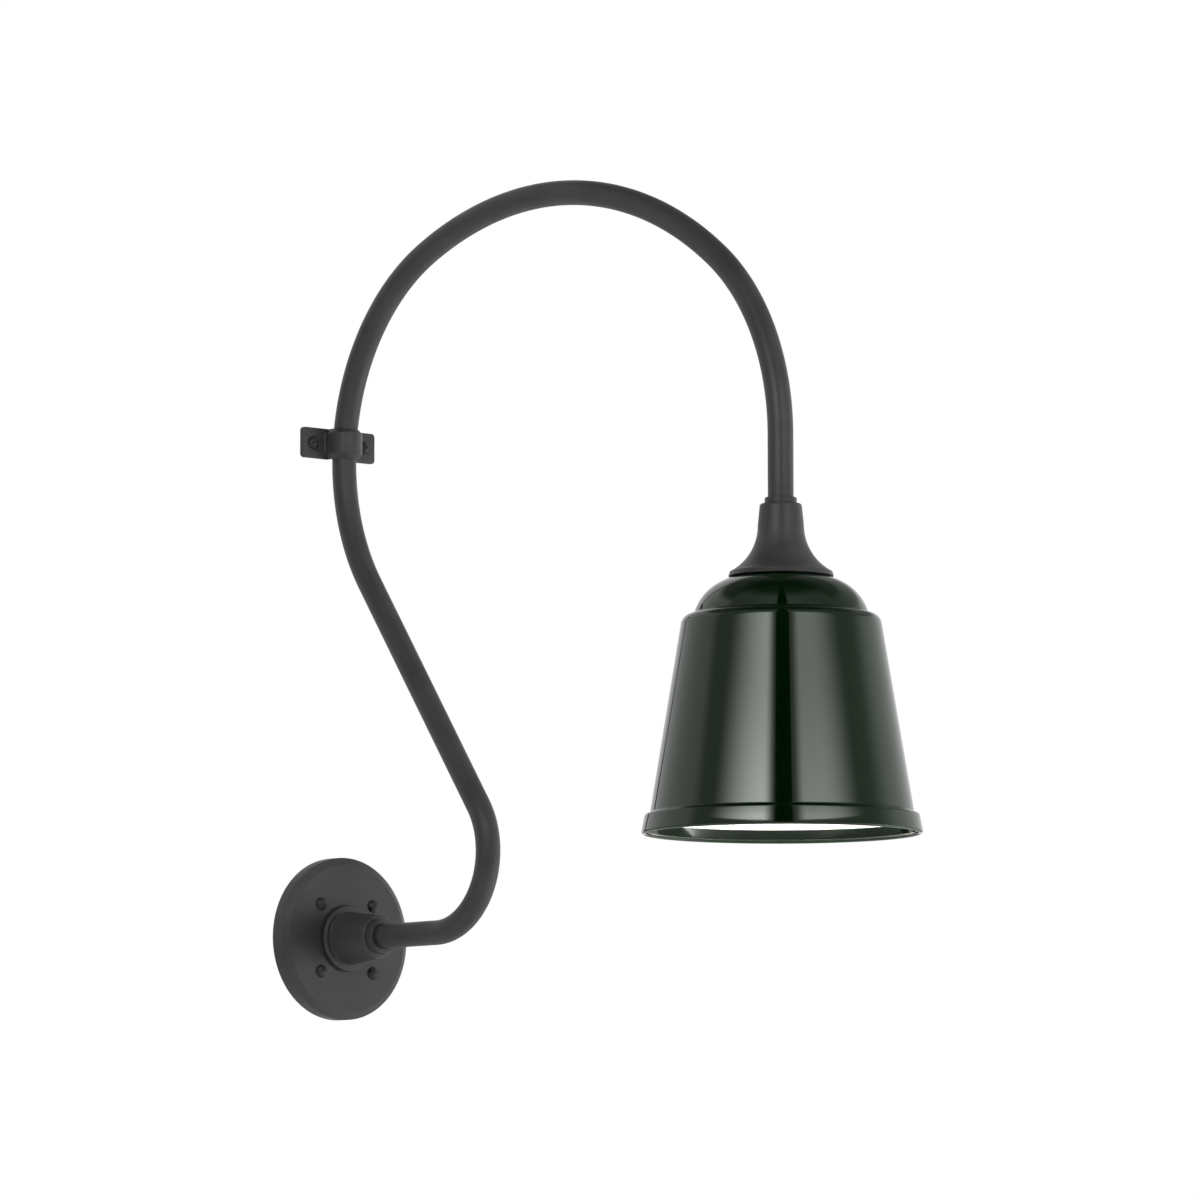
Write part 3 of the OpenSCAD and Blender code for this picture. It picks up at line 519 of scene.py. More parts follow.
def hub_casting():
    foot_r, foot_h = 26.1, 4.5
    root_r, nose_r, length = 20.7, 17.2, HUB_LENGTH
    lip_r, lip_h = 13.5, HUB_LIP
    nose_round, foot_round, lip_round, seam = 3.0, 2.25, 1.0, 1.0
    lean = math.degrees(math.atan2(root_r - nose_r, length - nose_round - foot_h - seam))
    outline = [(6.0, 0), (foot_r - foot_round / 2, 0)]
    outline += arc((foot_r - foot_round, foot_round), foot_round, -60, 90, 6)
    outline += arc((root_r + seam, foot_h + seam), seam, 270, 180 + lean, 10)
    outline += arc((nose_r - nose_round, length - nose_round), nose_round, lean, 90, 5)
    outline += arc((lip_r + 0.4, length + 0.4), 0.4, 270, 180, 15)
    outline += arc((lip_r - lip_round, length + lip_h - lip_round), lip_round, 0, 90, 8)
    bore = TUBE_R + 0.1
    floor = HUB_TUBE_END - PLATE_FRONT
    outline += [(bore + 0.3, length + lip_h), (bore, length + lip_h - 0.3), (bore, floor), (6.0, floor)]
    hub = turned("hub_casting", [(r, PLATE_FRONT + d) for r, d in outline], off_wall, OUT, 128)
    cut(hub, wall_rod(0, 0, NIPPLE_R + 0.1, PLATE_FRONT - 1, PLATE_FRONT + 12))
    hole_d = PLATE_FRONT + length - HUB_SOCKET / 3
    nothing_selected()
    bpy.ops.mesh.primitive_cylinder_add(vertices=32, radius=SET_SCREW_HOLE_R * MM, depth=SET_SCREW_HOLE * MM,
                                        location=(SET_SCREW_HOLE / 2 * MM, -hole_d * MM, 0), rotation=(0, deg(90), 0))
    cut(hub, settle(bpy.context.object))
    return smooth(hub)


# Arm.


def bent_tube():
    """The tube's end ring is drawn along every straight and spun round every bend."""
    nothing_selected()
    bpy.ops.mesh.primitive_circle_add(vertices=64, radius=TUBE_R * MM, fill_type="NOTHING",
                                      location=(0, -HUB_TUBE_END * MM, 0), rotation=(deg(90), 0, 0))
    tube = settle(bpy.context.object)
    editing(tube)
    for (turn, size), (d, z, heading) in zip(ARM, ARM_PLACES):
        if turn == 0:
            ahead = Vector((0, -cosd(heading), sind(heading))) * size * MM
            bpy.ops.mesh.extrude_region_move(TRANSFORM_OT_translate={"value": ahead})
        else:
            side = math.copysign(size, turn)
            centre = Vector((0, -(d - side * sind(heading)), z + side * cosd(heading))) * MM
            bpy.ops.mesh.spin(steps=max(12, round(abs(turn) * size / 180)), angle=deg(abs(turn)), center=centre,
                              axis=(math.copysign(1, turn), 0, 0))
    bpy.ops.mesh.select_all(action="SELECT")
    bpy.ops.mesh.remove_doubles(threshold=HAIR)
    bpy.ops.mesh.normals_make_consistent(inside=False)
    done_editing()
    wall = tube.modifiers.new("wall", "SOLIDIFY")
    wall.thickness = TUBE_WALL * MM
    wall.offset = -1
    keep(tube, wall)
    return smooth(named(tube, "bent_tube"))


# Screws.


def round_head_screw(name, seat, reach):
    """A slotted round-head wood screw: its head's seat lies off the wall, its thread and point behind the wall."""
    ball_r = (SCREW_HEAD_R ** 2 + SCREW_HEAD_H ** 2) / (2 * SCREW_HEAD_H)
    top = seat + SCREW_HEAD_H
    nothing_selected()
    bpy.ops.mesh.primitive_uv_sphere_add(segments=64, ring_count=48, radius=ball_r * MM,
                                         location=(0, -(top - ball_r) * MM, 0), rotation=(deg(90), 0, 0))
    head = settle(bpy.context.object)
    editing(head)
    bpy.ops.mesh.bisect(plane_co=(0, -seat * MM, 0), plane_no=(0, -1, 0), clear_inner=True, use_fill=True)
    done_editing()
    nothing_selected()
    bpy.ops.mesh.primitive_cube_add(size=1, location=(0, -(top - SLOT_DEPTH / 2 + 1) * MM, 0),
                                    scale=(4 * SCREW_HEAD_R * MM, (SLOT_DEPTH + 2) * MM, SLOT_W * MM))
    cut(head, settle(bpy.context.object))
    soften(head, 0.14, 2, 40)
    root_r = SCREW_R * 0.74
    tip = 4.0
    shank = wall_rod(0, 0, SCREW_NECK_R, 0, seat + 0.5, 32)
    editing(shank, "FACE")
    select_faces(shank, lambda face: face.normal.y > 0.9)
    narrow = root_r / SCREW_NECK_R
    bpy.ops.mesh.extrude_region_move(TRANSFORM_OT_translate={"value": (0, 0.6 * MM, 0)})
    bpy.ops.transform.resize(value=(narrow, 1, narrow))
    bpy.ops.mesh.extrude_region_move(TRANSFORM_OT_translate={"value": (0, (reach - tip - 0.6) * MM, 0)})
    bpy.ops.mesh.extrude_region_move(TRANSFORM_OT_translate={"value": (0, tip * MM, 0)})
    bpy.ops.transform.resize(value=(0.08, 1, 0.08))
    done_editing()
    pitch = 1.8
    turns = math.floor((reach - tip * 0.6) / pitch) - 1
    nothing_selected()
    bpy.ops.mesh.primitive_plane_add(size=MM)
    ridge = bpy.context.object
    editing(ridge)
    bpy.ops.mesh.merge(type="CENTER")
    bpy.ops.transform.translate(value=(root_r * 0.94 * MM, 0, 0))
    bpy.ops.mesh.extrude_region_move(TRANSFORM_OT_translate={"value": ((SCREW_R - root_r * 0.94) * MM, 0, 0.45 * MM)})
    bpy.ops.mesh.extrude_region_move(TRANSFORM_OT_translate={"value": ((root_r * 0.94 - SCREW_R) * MM, 0, 0.45 * MM)})
    bpy.ops.mesh.select_all(action="SELECT")
    bpy.ops.mesh.edge_face_add()
    done_editing()
    helix = ridge.modifiers.new("thread", "SCREW")
    helix.axis = "Z"
    helix.angle = TURN
    helix.screw_offset = pitch * MM
    helix.iterations = turns
    helix.steps = 24
    helix.render_steps = 24
    helix.use_merge_vertices = True
    keep(ridge, helix)
    editing(ridge, "EDGE")
    bpy.ops.mesh.normals_make_consistent(inside=False)
    done_editing()
    ridge.rotation_euler = (deg(90), 0, 0)
    ridge.location = (0, (reach - tip * 0.6) * MM, 0)
    settle(ridge)
    nothing_selected()
    for part in (ridge, shank, head):
        part.select_set(True)
    bpy.context.view_layer.objects.active = head
    bpy.ops.object.join()
    return smooth(named(bpy.context.object, name), 40)


def screw_set(name, model, places):
    """Copies of one screw, each with its own mesh, joined into one piece."""
    copies = []
    for x, z in places:
        nothing_selected()
        one = model.copy()
        one.data = model.data.copy()
        bpy.context.scene.collection.objects.link(one)
        one.location = (x * MM, 0, z * MM)
        copies.append(settle(one))
    nothing_selected()
    for one in copies:
        one.select_set(True)
    bpy.context.view_layer.objects.active = copies[0]
    bpy.ops.object.join()
    bpy.data.objects.remove(model)
    return named(bpy.context.object, name)


# Neck and shade.


def neck_casting():
    foot_r, waist_r, waist_z = 38.65, 17.0, 38.1
    flare_r, flare_foot = 39.2, 3.5
    top_r, top_round = 15.6, 2.0
    flare_turn = math.degrees(math.asin((waist_z - flare_foot) / flare_r))
    web = NECK_H - NECK_SOCKET
    bore = TUBE_R + 0.1
    outline = [(SPIGOT_R - 3.6, -9.0), (SPIGOT_R - 0.5, -9.0), (SPIGOT_R, -8.5), (SPIGOT_R, 0), (foot_r - 0.3, 0)]
    outline += arc((foot_r - 0.3, 0.3), 0.3, -90, 0, 20)
    outline += arc((foot_r - 0.3, 0.8), 0.3, 0, 55, 14)
    outline += arc((waist_r + flare_r, waist_z), flare_r, 180 + flare_turn, 180, 1.5)
    outline += arc((top_r - top_round, NECK_H - top_round), top_round, 2, 90, 5)
    outline += [(bore + 0.3, NECK_H), (bore, NECK_H - 0.3), (bore, web), (5.0, web), (5.0, web - 4),
                (top_r - 2.4, web - 4), (16.8, 21.3), (SPIGOT_R - 3.6, HOLDER_TOP + 0.6)]
    neck = turned("neck_casting", outline, in_shade, UP, 160)
    for x in (-HOLDER_SCREW, HOLDER_SCREW):
        cut(neck, upright_rod(x, 0, 3.2, HOLDER_TOP, web - 3.5, 40), "UNION")
    nothing_selected()
    bpy.ops.mesh.primitive_cylinder_add(
        vertices=32, radius=SET_SCREW_HOLE_R * MM, depth=SET_SCREW_HOLE * MM, rotation=(0, deg(90), 0),
        location=(SET_SCREW_HOLE / 2 * MM, -REACH * MM, (SHADE_TOP_Z + NECK_H - NECK_SOCKET / 2) * MM))
    cut(neck, settle(bpy.context.object))
    return smooth(neck)


def lock_ring():
    r, h, round_r = 11.9, 4.6, 0.5
    bore = TUBE_R + 0.1
    outline = [(bore, 0), (r, 0), (r, h - 1.1)]
    outline += arc((r - 1.0, h - 1.0), 1.0, 0, 90, 10)
    outline += [(bore + 0.2, h), (bore, h - 0.2)]
    return turned("neck_lock_ring_turned", [(a, NECK_H + b) for a, b in outline], in_shade, UP, 96)


class Bell:
    """The bell's outline in the shade's frame, moved in from its outer face by any amount."""

    seat_r = 34.5
    crown_r = 50.0
    haunch_r = 37.0
    haunch_turn = 58.0
    dome_r = 64.0
    crease_lean = 17.0
    crease_fillet = 1.8
    shoulder_r = 8.2
    cone_h = 138.2
    cone_angle = 9.4
    fillet = 2.2
    band_round = 2.2
    band_angle = 10.6
    band_h = 11.0
    bead_r = 1.7

    def __init__(self):
        out = (cosd(self.crease_lean), sind(self.crease_lean))
        haunch = (self.dome_r - self.haunch_r * out[0], -self.haunch_r * out[1])
        reach = self.haunch_r - self.crown_r
        crown = (haunch[0] + reach * cosd(self.haunch_turn), haunch[1] + reach * sind(self.haunch_turn))
        drop = crown[1] + math.sqrt(self.crown_r ** 2 - (self.seat_r - crown[0]) ** 2)
        self.crown = (crown[0], crown[1] - drop)
        self.haunch = (haunch[0], haunch[1] - drop)
        self.crease = (self.dome_r + self.crease_fillet * out[0], self.crease_fillet * out[1] - drop)
        self.shoulder = (self.crease[0], self.crease[1] - self.crease_fillet - self.shoulder_r)
        lean, tilt = self.cone_angle, self.band_angle
        top = (self.shoulder[0] + self.shoulder_r * cosd(lean), self.shoulder[1] + self.shoulder_r * sind(lean))
        foot = (top[0] + self.cone_h * math.tan(deg(lean)), top[1] - self.cone_h)
        self.fillet_at = (foot[0] + self.fillet * cosd(lean), foot[1] + self.fillet * sind(lean))
        self.band_at = (self.fillet_at[0], self.fillet_at[1] - self.fillet - self.band_round)
        self.band_top = (self.band_at[0] + self.band_round * cosd(tilt),
                         self.band_at[1] + self.band_round * sind(tilt))
        band_foot = (self.band_top[0] + self.band_h * math.tan(deg(tilt)), self.band_top[1] - self.band_h)
        self.bead = (band_foot[0] - self.bead_r * cosd(tilt), band_foot[1] - self.bead_r * sind(tilt))
        self.rim_z = self.bead[1] - self.bead_r

    def outline(self, inset, top):
        start = math.degrees(math.asin((top - self.crown[1]) / (self.crown_r - inset)))
        points = arc(self.crown, self.crown_r - inset, start, self.haunch_turn, 1.5)
        points += arc(self.haunch, self.haunch_r - inset, self.haunch_turn, self.crease_lean, 2)
        points += arc(self.crease, self.crease_fillet + inset, 180 + self.crease_lean, 270, 9)
        points += arc(self.shoulder, self.shoulder_r - inset, 90, self.cone_angle, 3)
        points += arc(self.fillet_at, self.fillet + inset, 180 + self.cone_angle, 270, 6)
        points += arc(self.band_at, max(self.band_round - inset, 0.05), 90, self.band_angle, 8)
        return points

    def band(self, inset, z):
        tilt = self.band_angle
        p = (self.band_top[0] - inset * cosd(tilt), self.band_top[1] - inset * sind(tilt))
        return (p[0] + (p[1] - z) * math.tan(deg(tilt)), z)


BELL = Bell()


def bell_shade():
    hole_r = SPIGOT_R + 0.1
    bead_end = math.degrees(math.acos((BELL.bead_r - SHADE_T) / BELL.bead_r)) + BELL.band_angle - 360
    outline = [(hole_r, -SHADE_T), (hole_r, 0)]
    outline += BELL.outline(0, 0)
    outline += arc(BELL.bead, BELL.bead_r, BELL.band_angle, bead_end, 8)
    outline += reversed(BELL.outline(SHADE_T, -SHADE_T))
    return turned("bell_shade", outline, in_shade, UP, 192)


def shade_lining():
    hole_r = SPIGOT_R + 0.1
    outer = SHADE_T + LINER_GAP
    inner = outer + LINER_T
    foot = BELL.rim_z + 10
    outline = [(hole_r, -SHADE_T - LINER_T), (hole_r, -SHADE_T)]
    outline += BELL.outline(outer, -SHADE_T)
    outline += [BELL.band(outer, foot), BELL.band(inner, foot)]
    outline += reversed(BELL.outline(inner, -SHADE_T - LINER_T))
    return turned("shade_lining", outline, in_shade, UP, 160)


# Lampholder and bulb.


def holder_porcelain():
    bottom = HOLDER_TOP - HOLDER_H
    ceiling = HOLDER_TOP - HOLDER_ROOF
    bore = 13.95
    round_r = 2.5
    outline = [(0, ceiling), (bore, ceiling), (bore, bottom + 1), (bore + 1, bottom)]
    outline += arc((HOLDER_R - round_r, bottom + round_r), round_r, -90, 0, 8)
    outline += [(HOLDER_R, bottom + 11), (HOLDER_R - 0.8, bottom + 12), (HOLDER_R - 0.8, bottom + 14),
                (HOLDER_R, bottom + 15)]
    outline += arc((HOLDER_R - round_r, HOLDER_TOP - round_r), round_r, 0, 90, 8)
    outline += [(0, HOLDER_TOP)]
    return turned("holder_porcelain", outline, in_shade, UP, 128)


CEILING_Z = HOLDER_TOP - HOLDER_ROOF
BULB_TIP_Z = CEILING_Z - 3.7 - 0.3
INSULATOR_Z = BULB_TIP_Z - 1.4
CAP_TOP_Z = INSULATOR_Z - 3.4
CAP_FOOT_Z = CAP_TOP_Z - 21.0
GLOBE_R = 30.0
GLOBE_WALL = 1.2
GLOBE_Z = BULB_TIP_Z - 108.0 + GLOBE_R
GLOBE_LIP = 15.4


def opal_globe():
    lip = math.degrees(math.asin(GLOBE_LIP / GLOBE_R))
    inner_r = GLOBE_R - GLOBE_WALL
    inner_lip = math.degrees(math.asin(GLOBE_LIP / inner_r))
    outline = arc((0, GLOBE_Z), GLOBE_R, -90, lip, 3)
    outline += arc((0, GLOBE_Z), inner_r, inner_lip, -90, 3)
    return turned("opal_globe_turned", outline, in_shade, UP, 128)


def bulb_shell():
    lip_z = GLOBE_Z + GLOBE_LIP
    lip_r = math.sqrt(GLOBE_R ** 2 - GLOBE_LIP ** 2)
    board_r = lip_r - GLOBE_WALL - 0.4
    shelf = lip_z + 1.6
    bore = 13.1 - 0.7 - 0.6 - 0.05
    outline = [(board_r + 0.05, shelf), (board_r + 0.05, lip_z), (lip_r - 0.3, lip_z), (lip_r - 0.05, lip_z + 0.3)]
    middle = ((lip_r + 14) / 2 + 0.6, (lip_z + CAP_FOOT_Z) / 2)
    outline += [(lip_r - 1.6, lip_z + 6), middle, (15.6, CAP_FOOT_Z - 4), (14.2, CAP_FOOT_Z - 0.6)]
    outline += [(13.6, CAP_FOOT_Z), (bore, CAP_FOOT_Z), (bore, CAP_FOOT_Z + 6), (bore - 1.6, CAP_FOOT_Z + 6)]
    outline += [(bore - 1.6, CAP_FOOT_Z), (board_r - 1.5, shelf + 1.6), (board_r - 1.5, shelf)]
    return turned("bulb_shell", outline, in_shade, UP, 128)


def threaded_cap():
    """The cap's skirt with a rolled round thread that climbs as it turns."""
    crest_r, depth, wall, pitch, height = 13.1, 0.7, 0.6, 3.63, 21.0
    root_r = crest_r - depth
    plain = 2.0
    turns = 4
    outline = [(root_r - wall, 0), (root_r, 0), (root_r, height - 2.2)]
    outline += arc((root_r - 1.6, height - 2.2), 1.6, 0, 80, 10)
    outline += [(0, height - 0.4), (0, height - 1.0)]
    outline += [(root_r - wall - 1, height - 1.2), (root_r - wall, height - 2.4)]
    cap = turned("threaded_cap", [(r, CAP_FOOT_Z + h) for r, h in outline], in_shade, UP, 96)
    nothing_selected()
    bpy.ops.mesh.primitive_circle_add(vertices=16, radius=1.0 * MM, fill_type="NOTHING", rotation=(deg(90), 0, 0),
                                      location=((crest_r - 1.0) * MM, 0, 0))
    ridge = settle(bpy.context.object)
    helix = ridge.modifiers.new("thread", "SCREW")
    helix.axis = "Z"
    helix.angle = TURN
    helix.screw_offset = pitch * MM
    helix.iterations = turns
    helix.steps = 72
    helix.render_steps = 72
    keep(ridge, helix)
    editing(ridge)
    bpy.ops.mesh.remove_doubles(threshold=HAIR)
    bpy.ops.mesh.select_non_manifold()
    bpy.ops.mesh.edge_face_add()
    bpy.ops.mesh.select_all(action="SELECT")
    bpy.ops.mesh.normals_make_consistent(inside=False)
    done_editing()
    ridge.location = (0, -REACH * MM, (SHADE_TOP_Z + CAP_FOOT_Z + plain + 1.0) * MM)
    settle(ridge)
    nothing_selected()
    ridge.select_set(True)
    cap.select_set(True)
    bpy.context.view_layer.objects.active = cap
    bpy.ops.object.join()
    return smooth(named(bpy.context.object, "threaded_cap"), 40)


def cap_glass():
    outline = [(0, CAP_TOP_Z), (11.2, CAP_TOP_Z)]
    outline += arc((8.6, CAP_TOP_Z + 0.2), 2.4, 0, 60, 12)
    outline += [(5.2, INSULATOR_Z), (0, INSULATOR_Z)]
    return turned("cap_glass", outline, in_shade, UP, 96)


def cap_contact():
    outline = [(0, INSULATOR_Z), (4.5, INSULATOR_Z)]
    outline += arc((3.1, BULB_TIP_Z - 1.1), 1.1, -20, 75, 12)
    outline += [(0, BULB_TIP_Z)]
    return turned("cap_contact", outline, in_shade, UP, 64)


# The pieces, each with its body, its finish and the node it stands for.

finished(wall_plate(), "fixture", "charcoal_coat", CHARCOAL, "backplate")
finished(hub_casting(), "fixture", "charcoal_coat", CHARCOAL, "hub")
finished(bent_tube(), "fixture", "charcoal_coat", CHARCOAL, "arm_tube")
finished(softened_copy("wall_strap", "strap_casting", 0.45), "fixture", "charcoal_coat", CHARCOAL, "wall_strap")
plate_screw = round_head_screw("plate_screw", PLATE_FRONT, SCREW_REACH)
corners = [(x, z) for x in (-PLATE_SCREW, PLATE_SCREW) for z in (-PLATE_SCREW, PLATE_SCREW)]
finished(screw_set("plate_screws_turned", plate_screw, corners), "fixture", "charcoal_coat", SCREW_COAT_PAINTED_SHADE,
         "backplate_screws")
strap_screw = round_head_screw("strap_screw", STRAP_EAR, STRAP_SCREW_REACH)
ears = [(-STRAP_SCREW, STRAP_Z), (STRAP_SCREW, STRAP_Z)]
finished(screw_set("strap_screws_turned", strap_screw, ears), "fixture",
         "charcoal_coat", SCREW_COAT_PAINTED_SHADE, "strap_screws")
finished(neck_casting(), "fixture", "charcoal_coat", CHARCOAL, "shade_neck")
finished(lock_ring(), "fixture", "charcoal_coat", CHARCOAL, "neck_lock_ring")
finished(bell_shade(), "fixture", "green_enamel", ENAMEL, "shade")
finished(shade_lining(), "fixture", "white_enamel", WHITE, "shade_reflector")
finished(softened_copy("shade_nut", "ring_nut", 0.3), "fixture", "zinc_steel", ZINC, "shade_nut")
finished(softened_copy("hub_locknut", "hub_hex_nut", 0.4), "fixture", "zinc_steel", ZINC, "hub_locknut")
finished(holder_porcelain(), "fixture", "porcelain", PORCELAIN, "lampholder_body")
finished(opal_globe(), "bulb", "opal_globe", OPAL, "bulb_globe")
finished(bulb_shell(), "bulb", "white_plastic", BULB_WHITE, "bulb_body")
finished(threaded_cap(), "bulb", "cap_nickel", NICKEL, "bulb_cap")
finished(cap_glass(), "bulb", "black_insulator", VITRITE, "bulb_insulator")
finished(cap_contact(), "bulb", "cap_nickel", NICKEL, "bulb_tip")

for node, material in {
    "backplate_gasket": FOAM, "shade_gasket": FOAM, "ground_screw": GREEN_SCREW, "hub_nipple": ZINC,
    "hub_set_screw": BLACK_OXIDE, "neck_set_screw": BLACK_OXIDE, "lampholder_shell": BRASS,
    "lampholder_contact": BRASS, "lampholder_screws": ZINC, "lead_live": BLACK_WIRE, "lead_neutral": WHITE_WIRE,
    "bulb_light_board": BOARD,
}.items():
    nodes[node].data.materials.clear()
    nodes[node].data.materials.append(material)


# Studio.


def studio_world():
    """White for the camera. The object's gloss sees grey walls with a dark gap at the camera and lighter sides."""
    world = bpy.data.worlds.new("studio")
    bpy.context.scene.world = world
    world.use_nodes = True
    tree = world.node_tree
    tree.nodes.clear()

    def add(kind, **settings):
        node = tree.nodes.new(kind)
        for key, value in settings.items():
            setattr(node, key, value)
        return node

    out = add("ShaderNodeOutputWorld")
    path = add("ShaderNodeLightPath")
    seen = add("ShaderNodeBackground")
    seen.inputs["Color"].default_value = (1, 1, 1, 1)
    tent = add("ShaderNodeBackground")
    tent.inputs["Color"].default_value = (1, 1, 1, 1)
    direction = add("ShaderNodeTexCoord").outputs["Generated"]
    turn = bearing(tree, direction, (0, 0))
    away = add("ShaderNodeMath", operation="ABSOLUTE")
    tree.links.new(turn, away.inputs[0])
    front = ramp(tree, away.outputs[0], *FRONT_FADE, FRONT_LIGHT, DIM_LIGHT)
    gap = ramp(tree, away.outputs[0], *GAP_EDGE, 0, 1)
    split = add("ShaderNodeSeparateXYZ")
    tree.links.new(direction, split.inputs[0])
    height = split.outputs["Z"]
    roof = ramp(tree, height, *ROOF_RISE, 1, ROOF_LIGHT)
    behind = ramp(tree, away.outputs[0], *BEHIND_FADE, 0, 1)
    eaves = ramp(tree, height, *EAVES_RISE, 0, EAVES_SHADE)
    left = ramp(tree, turn, *LEFT_EDGE, LEFT_LIGHT - DIM_LIGHT, 0)
    left_top = ramp(tree, height, *LEFT_TOP, 1, 0)
    right = ramp(tree, turn, *RIGHT_EDGE, 0, RIGHT_LIGHT - DIM_LIGHT)
    right_top = ramp(tree, height, *RIGHT_TOP, 1, 0)

    def combine(operation, first, second):
        node = add("ShaderNodeMath", operation=operation)
        tree.links.new(first, node.inputs[0])
        tree.links.new(second, node.inputs[1])
        return node.outputs[0]

    wall = combine("MULTIPLY", combine("MULTIPLY", front, gap), roof)
    wall = combine("SUBTRACT", wall, combine("MULTIPLY", wall, combine("MULTIPLY", behind, eaves)))
    sides = combine("ADD", combine("MULTIPLY", left, left_top), combine("MULTIPLY", right, right_top))
    gloss = combine("ADD", wall, sides)
    soft = ramp(tree, height, *SOFT_RISE, SOFT_LIGHT, SOFT_LIGHT * SOFT_TOP)
    pick_gloss = add("ShaderNodeMix", data_type="FLOAT")
    tree.links.new(path.outputs["Is Glossy Ray"], pick_gloss.inputs["Factor"])
    tree.links.new(soft, pick_gloss.inputs["A"])
    tree.links.new(gloss, pick_gloss.inputs["B"])
    tree.links.new(pick_gloss.outputs["Result"], tent.inputs["Strength"])
    clear = add("ShaderNodeMath", operation="MAXIMUM")
    tree.links.new(path.outputs["Is Camera Ray"], clear.inputs[0])
    tree.links.new(path.outputs["Is Transmission Ray"], clear.inputs[1])
    mix = add("ShaderNodeMixShader")
    tree.links.new(clear.outputs[0], mix.inputs["Fac"])
    tree.links.new(tent.outputs[0], mix.inputs[1])
    tree.links.new(seen.outputs[0], mix.inputs[2])
    tree.links.new(mix.outputs[0], out.inputs["Surface"])


def bearing(tree, place, centre):
    """The angle of a direction or place round an upright line: 0 towards the camera's side, more to its right."""
    offset = tree.nodes.new("ShaderNodeVectorMath")
    offset.operation = "SUBTRACT"
    offset.inputs[1].default_value = (centre[0], centre[1], 0)
    tree.links.new(place, offset.inputs[0])
    angle = tree.nodes.new("ShaderNodeMath")
    angle.operation = "ARCTAN2"
    across, towards = (cosd(CAMERA_AZ), sind(CAMERA_AZ), 0), (sind(CAMERA_AZ), -cosd(CAMERA_AZ), 0)
    for socket, axis in ((0, across), (1, towards)):
        along = tree.nodes.new("ShaderNodeVectorMath")
        along.operation = "DOT_PRODUCT"
        along.inputs[1].default_value = axis
        tree.links.new(offset.outputs[0], along.inputs[0])
        tree.links.new(along.outputs["Value"], angle.inputs[socket])
    return angle.outputs[0]


def ramp(tree, source, start, end, low, high):
    node = tree.nodes.new("ShaderNodeMapRange")
    node.interpolation_type = "SMOOTHSTEP"
    for key, value in (("From Min", start), ("From Max", end), ("To Min", low), ("To Max", high)):
        node.inputs[key].default_value = value
    tree.links.new(source, node.inputs["Value"])
    return node.outputs["Result"]


def soft_box(name, inner, outer, feather, strength):
    """A curved light panel round the shade, seen only in gloss. It is brightest at its foot, softest outwards."""
    radius, low, high = PANEL_R, PANEL_FOOT, PANEL_TOP
    nothing_selected()
    bpy.ops.mesh.primitive_cylinder_add(vertices=180, radius=radius, depth=high - low, end_fill_type="NOTHING",
                                        location=(0, -REACH * MM, (low + high) / 2))
    panel = settle(bpy.context.object)
    editing(panel, "FACE")

    def outside(face):
        x, y = face.center.x, face.center.y + REACH * MM
        angle = math.degrees(math.atan2(x * cosd(CAMERA_AZ) + y * sind(CAMERA_AZ),
                                        x * sind(CAMERA_AZ) - y * cosd(CAMERA_AZ)))
        return not min(inner, outer) <= angle <= max(inner, outer)

    select_faces(panel, outside)
    bpy.ops.mesh.delete(type="FACE")
    done_editing()
    glow = bpy.data.materials.new(name + "_light")
    glow.use_nodes = True
    tree = glow.node_tree
    tree.nodes.clear()
    place = tree.nodes.new("ShaderNodeTexCoord").outputs["Object"]
    turn = bearing(tree, place, (0, -REACH * MM))
    split = tree.nodes.new("ShaderNodeSeparateXYZ")
    tree.links.new(place, split.inputs[0])
    height = split.outputs["Z"]
    slant = tree.nodes.new("ShaderNodeMath")
    slant.operation = "MULTIPLY_ADD"
    slant.inputs[1].default_value = deg(math.copysign(SLANT, outer))
    tree.links.new(height, slant.inputs[0])
    tree.links.new(turn, slant.inputs[2])
    lift = math.copysign(SLANT, outer) * low
    across = ramp(tree, slant.outputs[0], deg(feather + lift), deg(outer + lift), 1, 0)
    edge = ramp(tree, turn, deg(inner), deg(inner + math.copysign(PANEL_EDGE, outer)), 0, 1)
    rise = ramp(tree, height, low, PANEL_MIDDLE, strength, strength * PANEL_UPPER)
    brow = ramp(tree, height, *PANEL_BROW, 1, 0)
    level = rise
    for factor in (brow, across, edge):
        product = tree.nodes.new("ShaderNodeMath")
        product.operation = "MULTIPLY"
        tree.links.new(level, product.inputs[0])
        tree.links.new(factor, product.inputs[1])
        level = product.outputs[0]
    light = tree.nodes.new("ShaderNodeEmission")
    tree.links.new(level, light.inputs["Strength"])
    clear = tree.nodes.new("ShaderNodeBsdfTransparent")
    both = tree.nodes.new("ShaderNodeAddShader")
    tree.links.new(light.outputs[0], both.inputs[0])
    tree.links.new(clear.outputs[0], both.inputs[1])
    out = tree.nodes.new("ShaderNodeOutputMaterial")
    tree.links.new(both.outputs[0], out.inputs["Surface"])
    panel.data.materials.append(glow)
    panel.visible_camera = False
    panel.visible_diffuse = False
    panel.visible_shadow = False
    panel.visible_transmission = False
    panel.visible_volume_scatter = False
    named(panel, name)


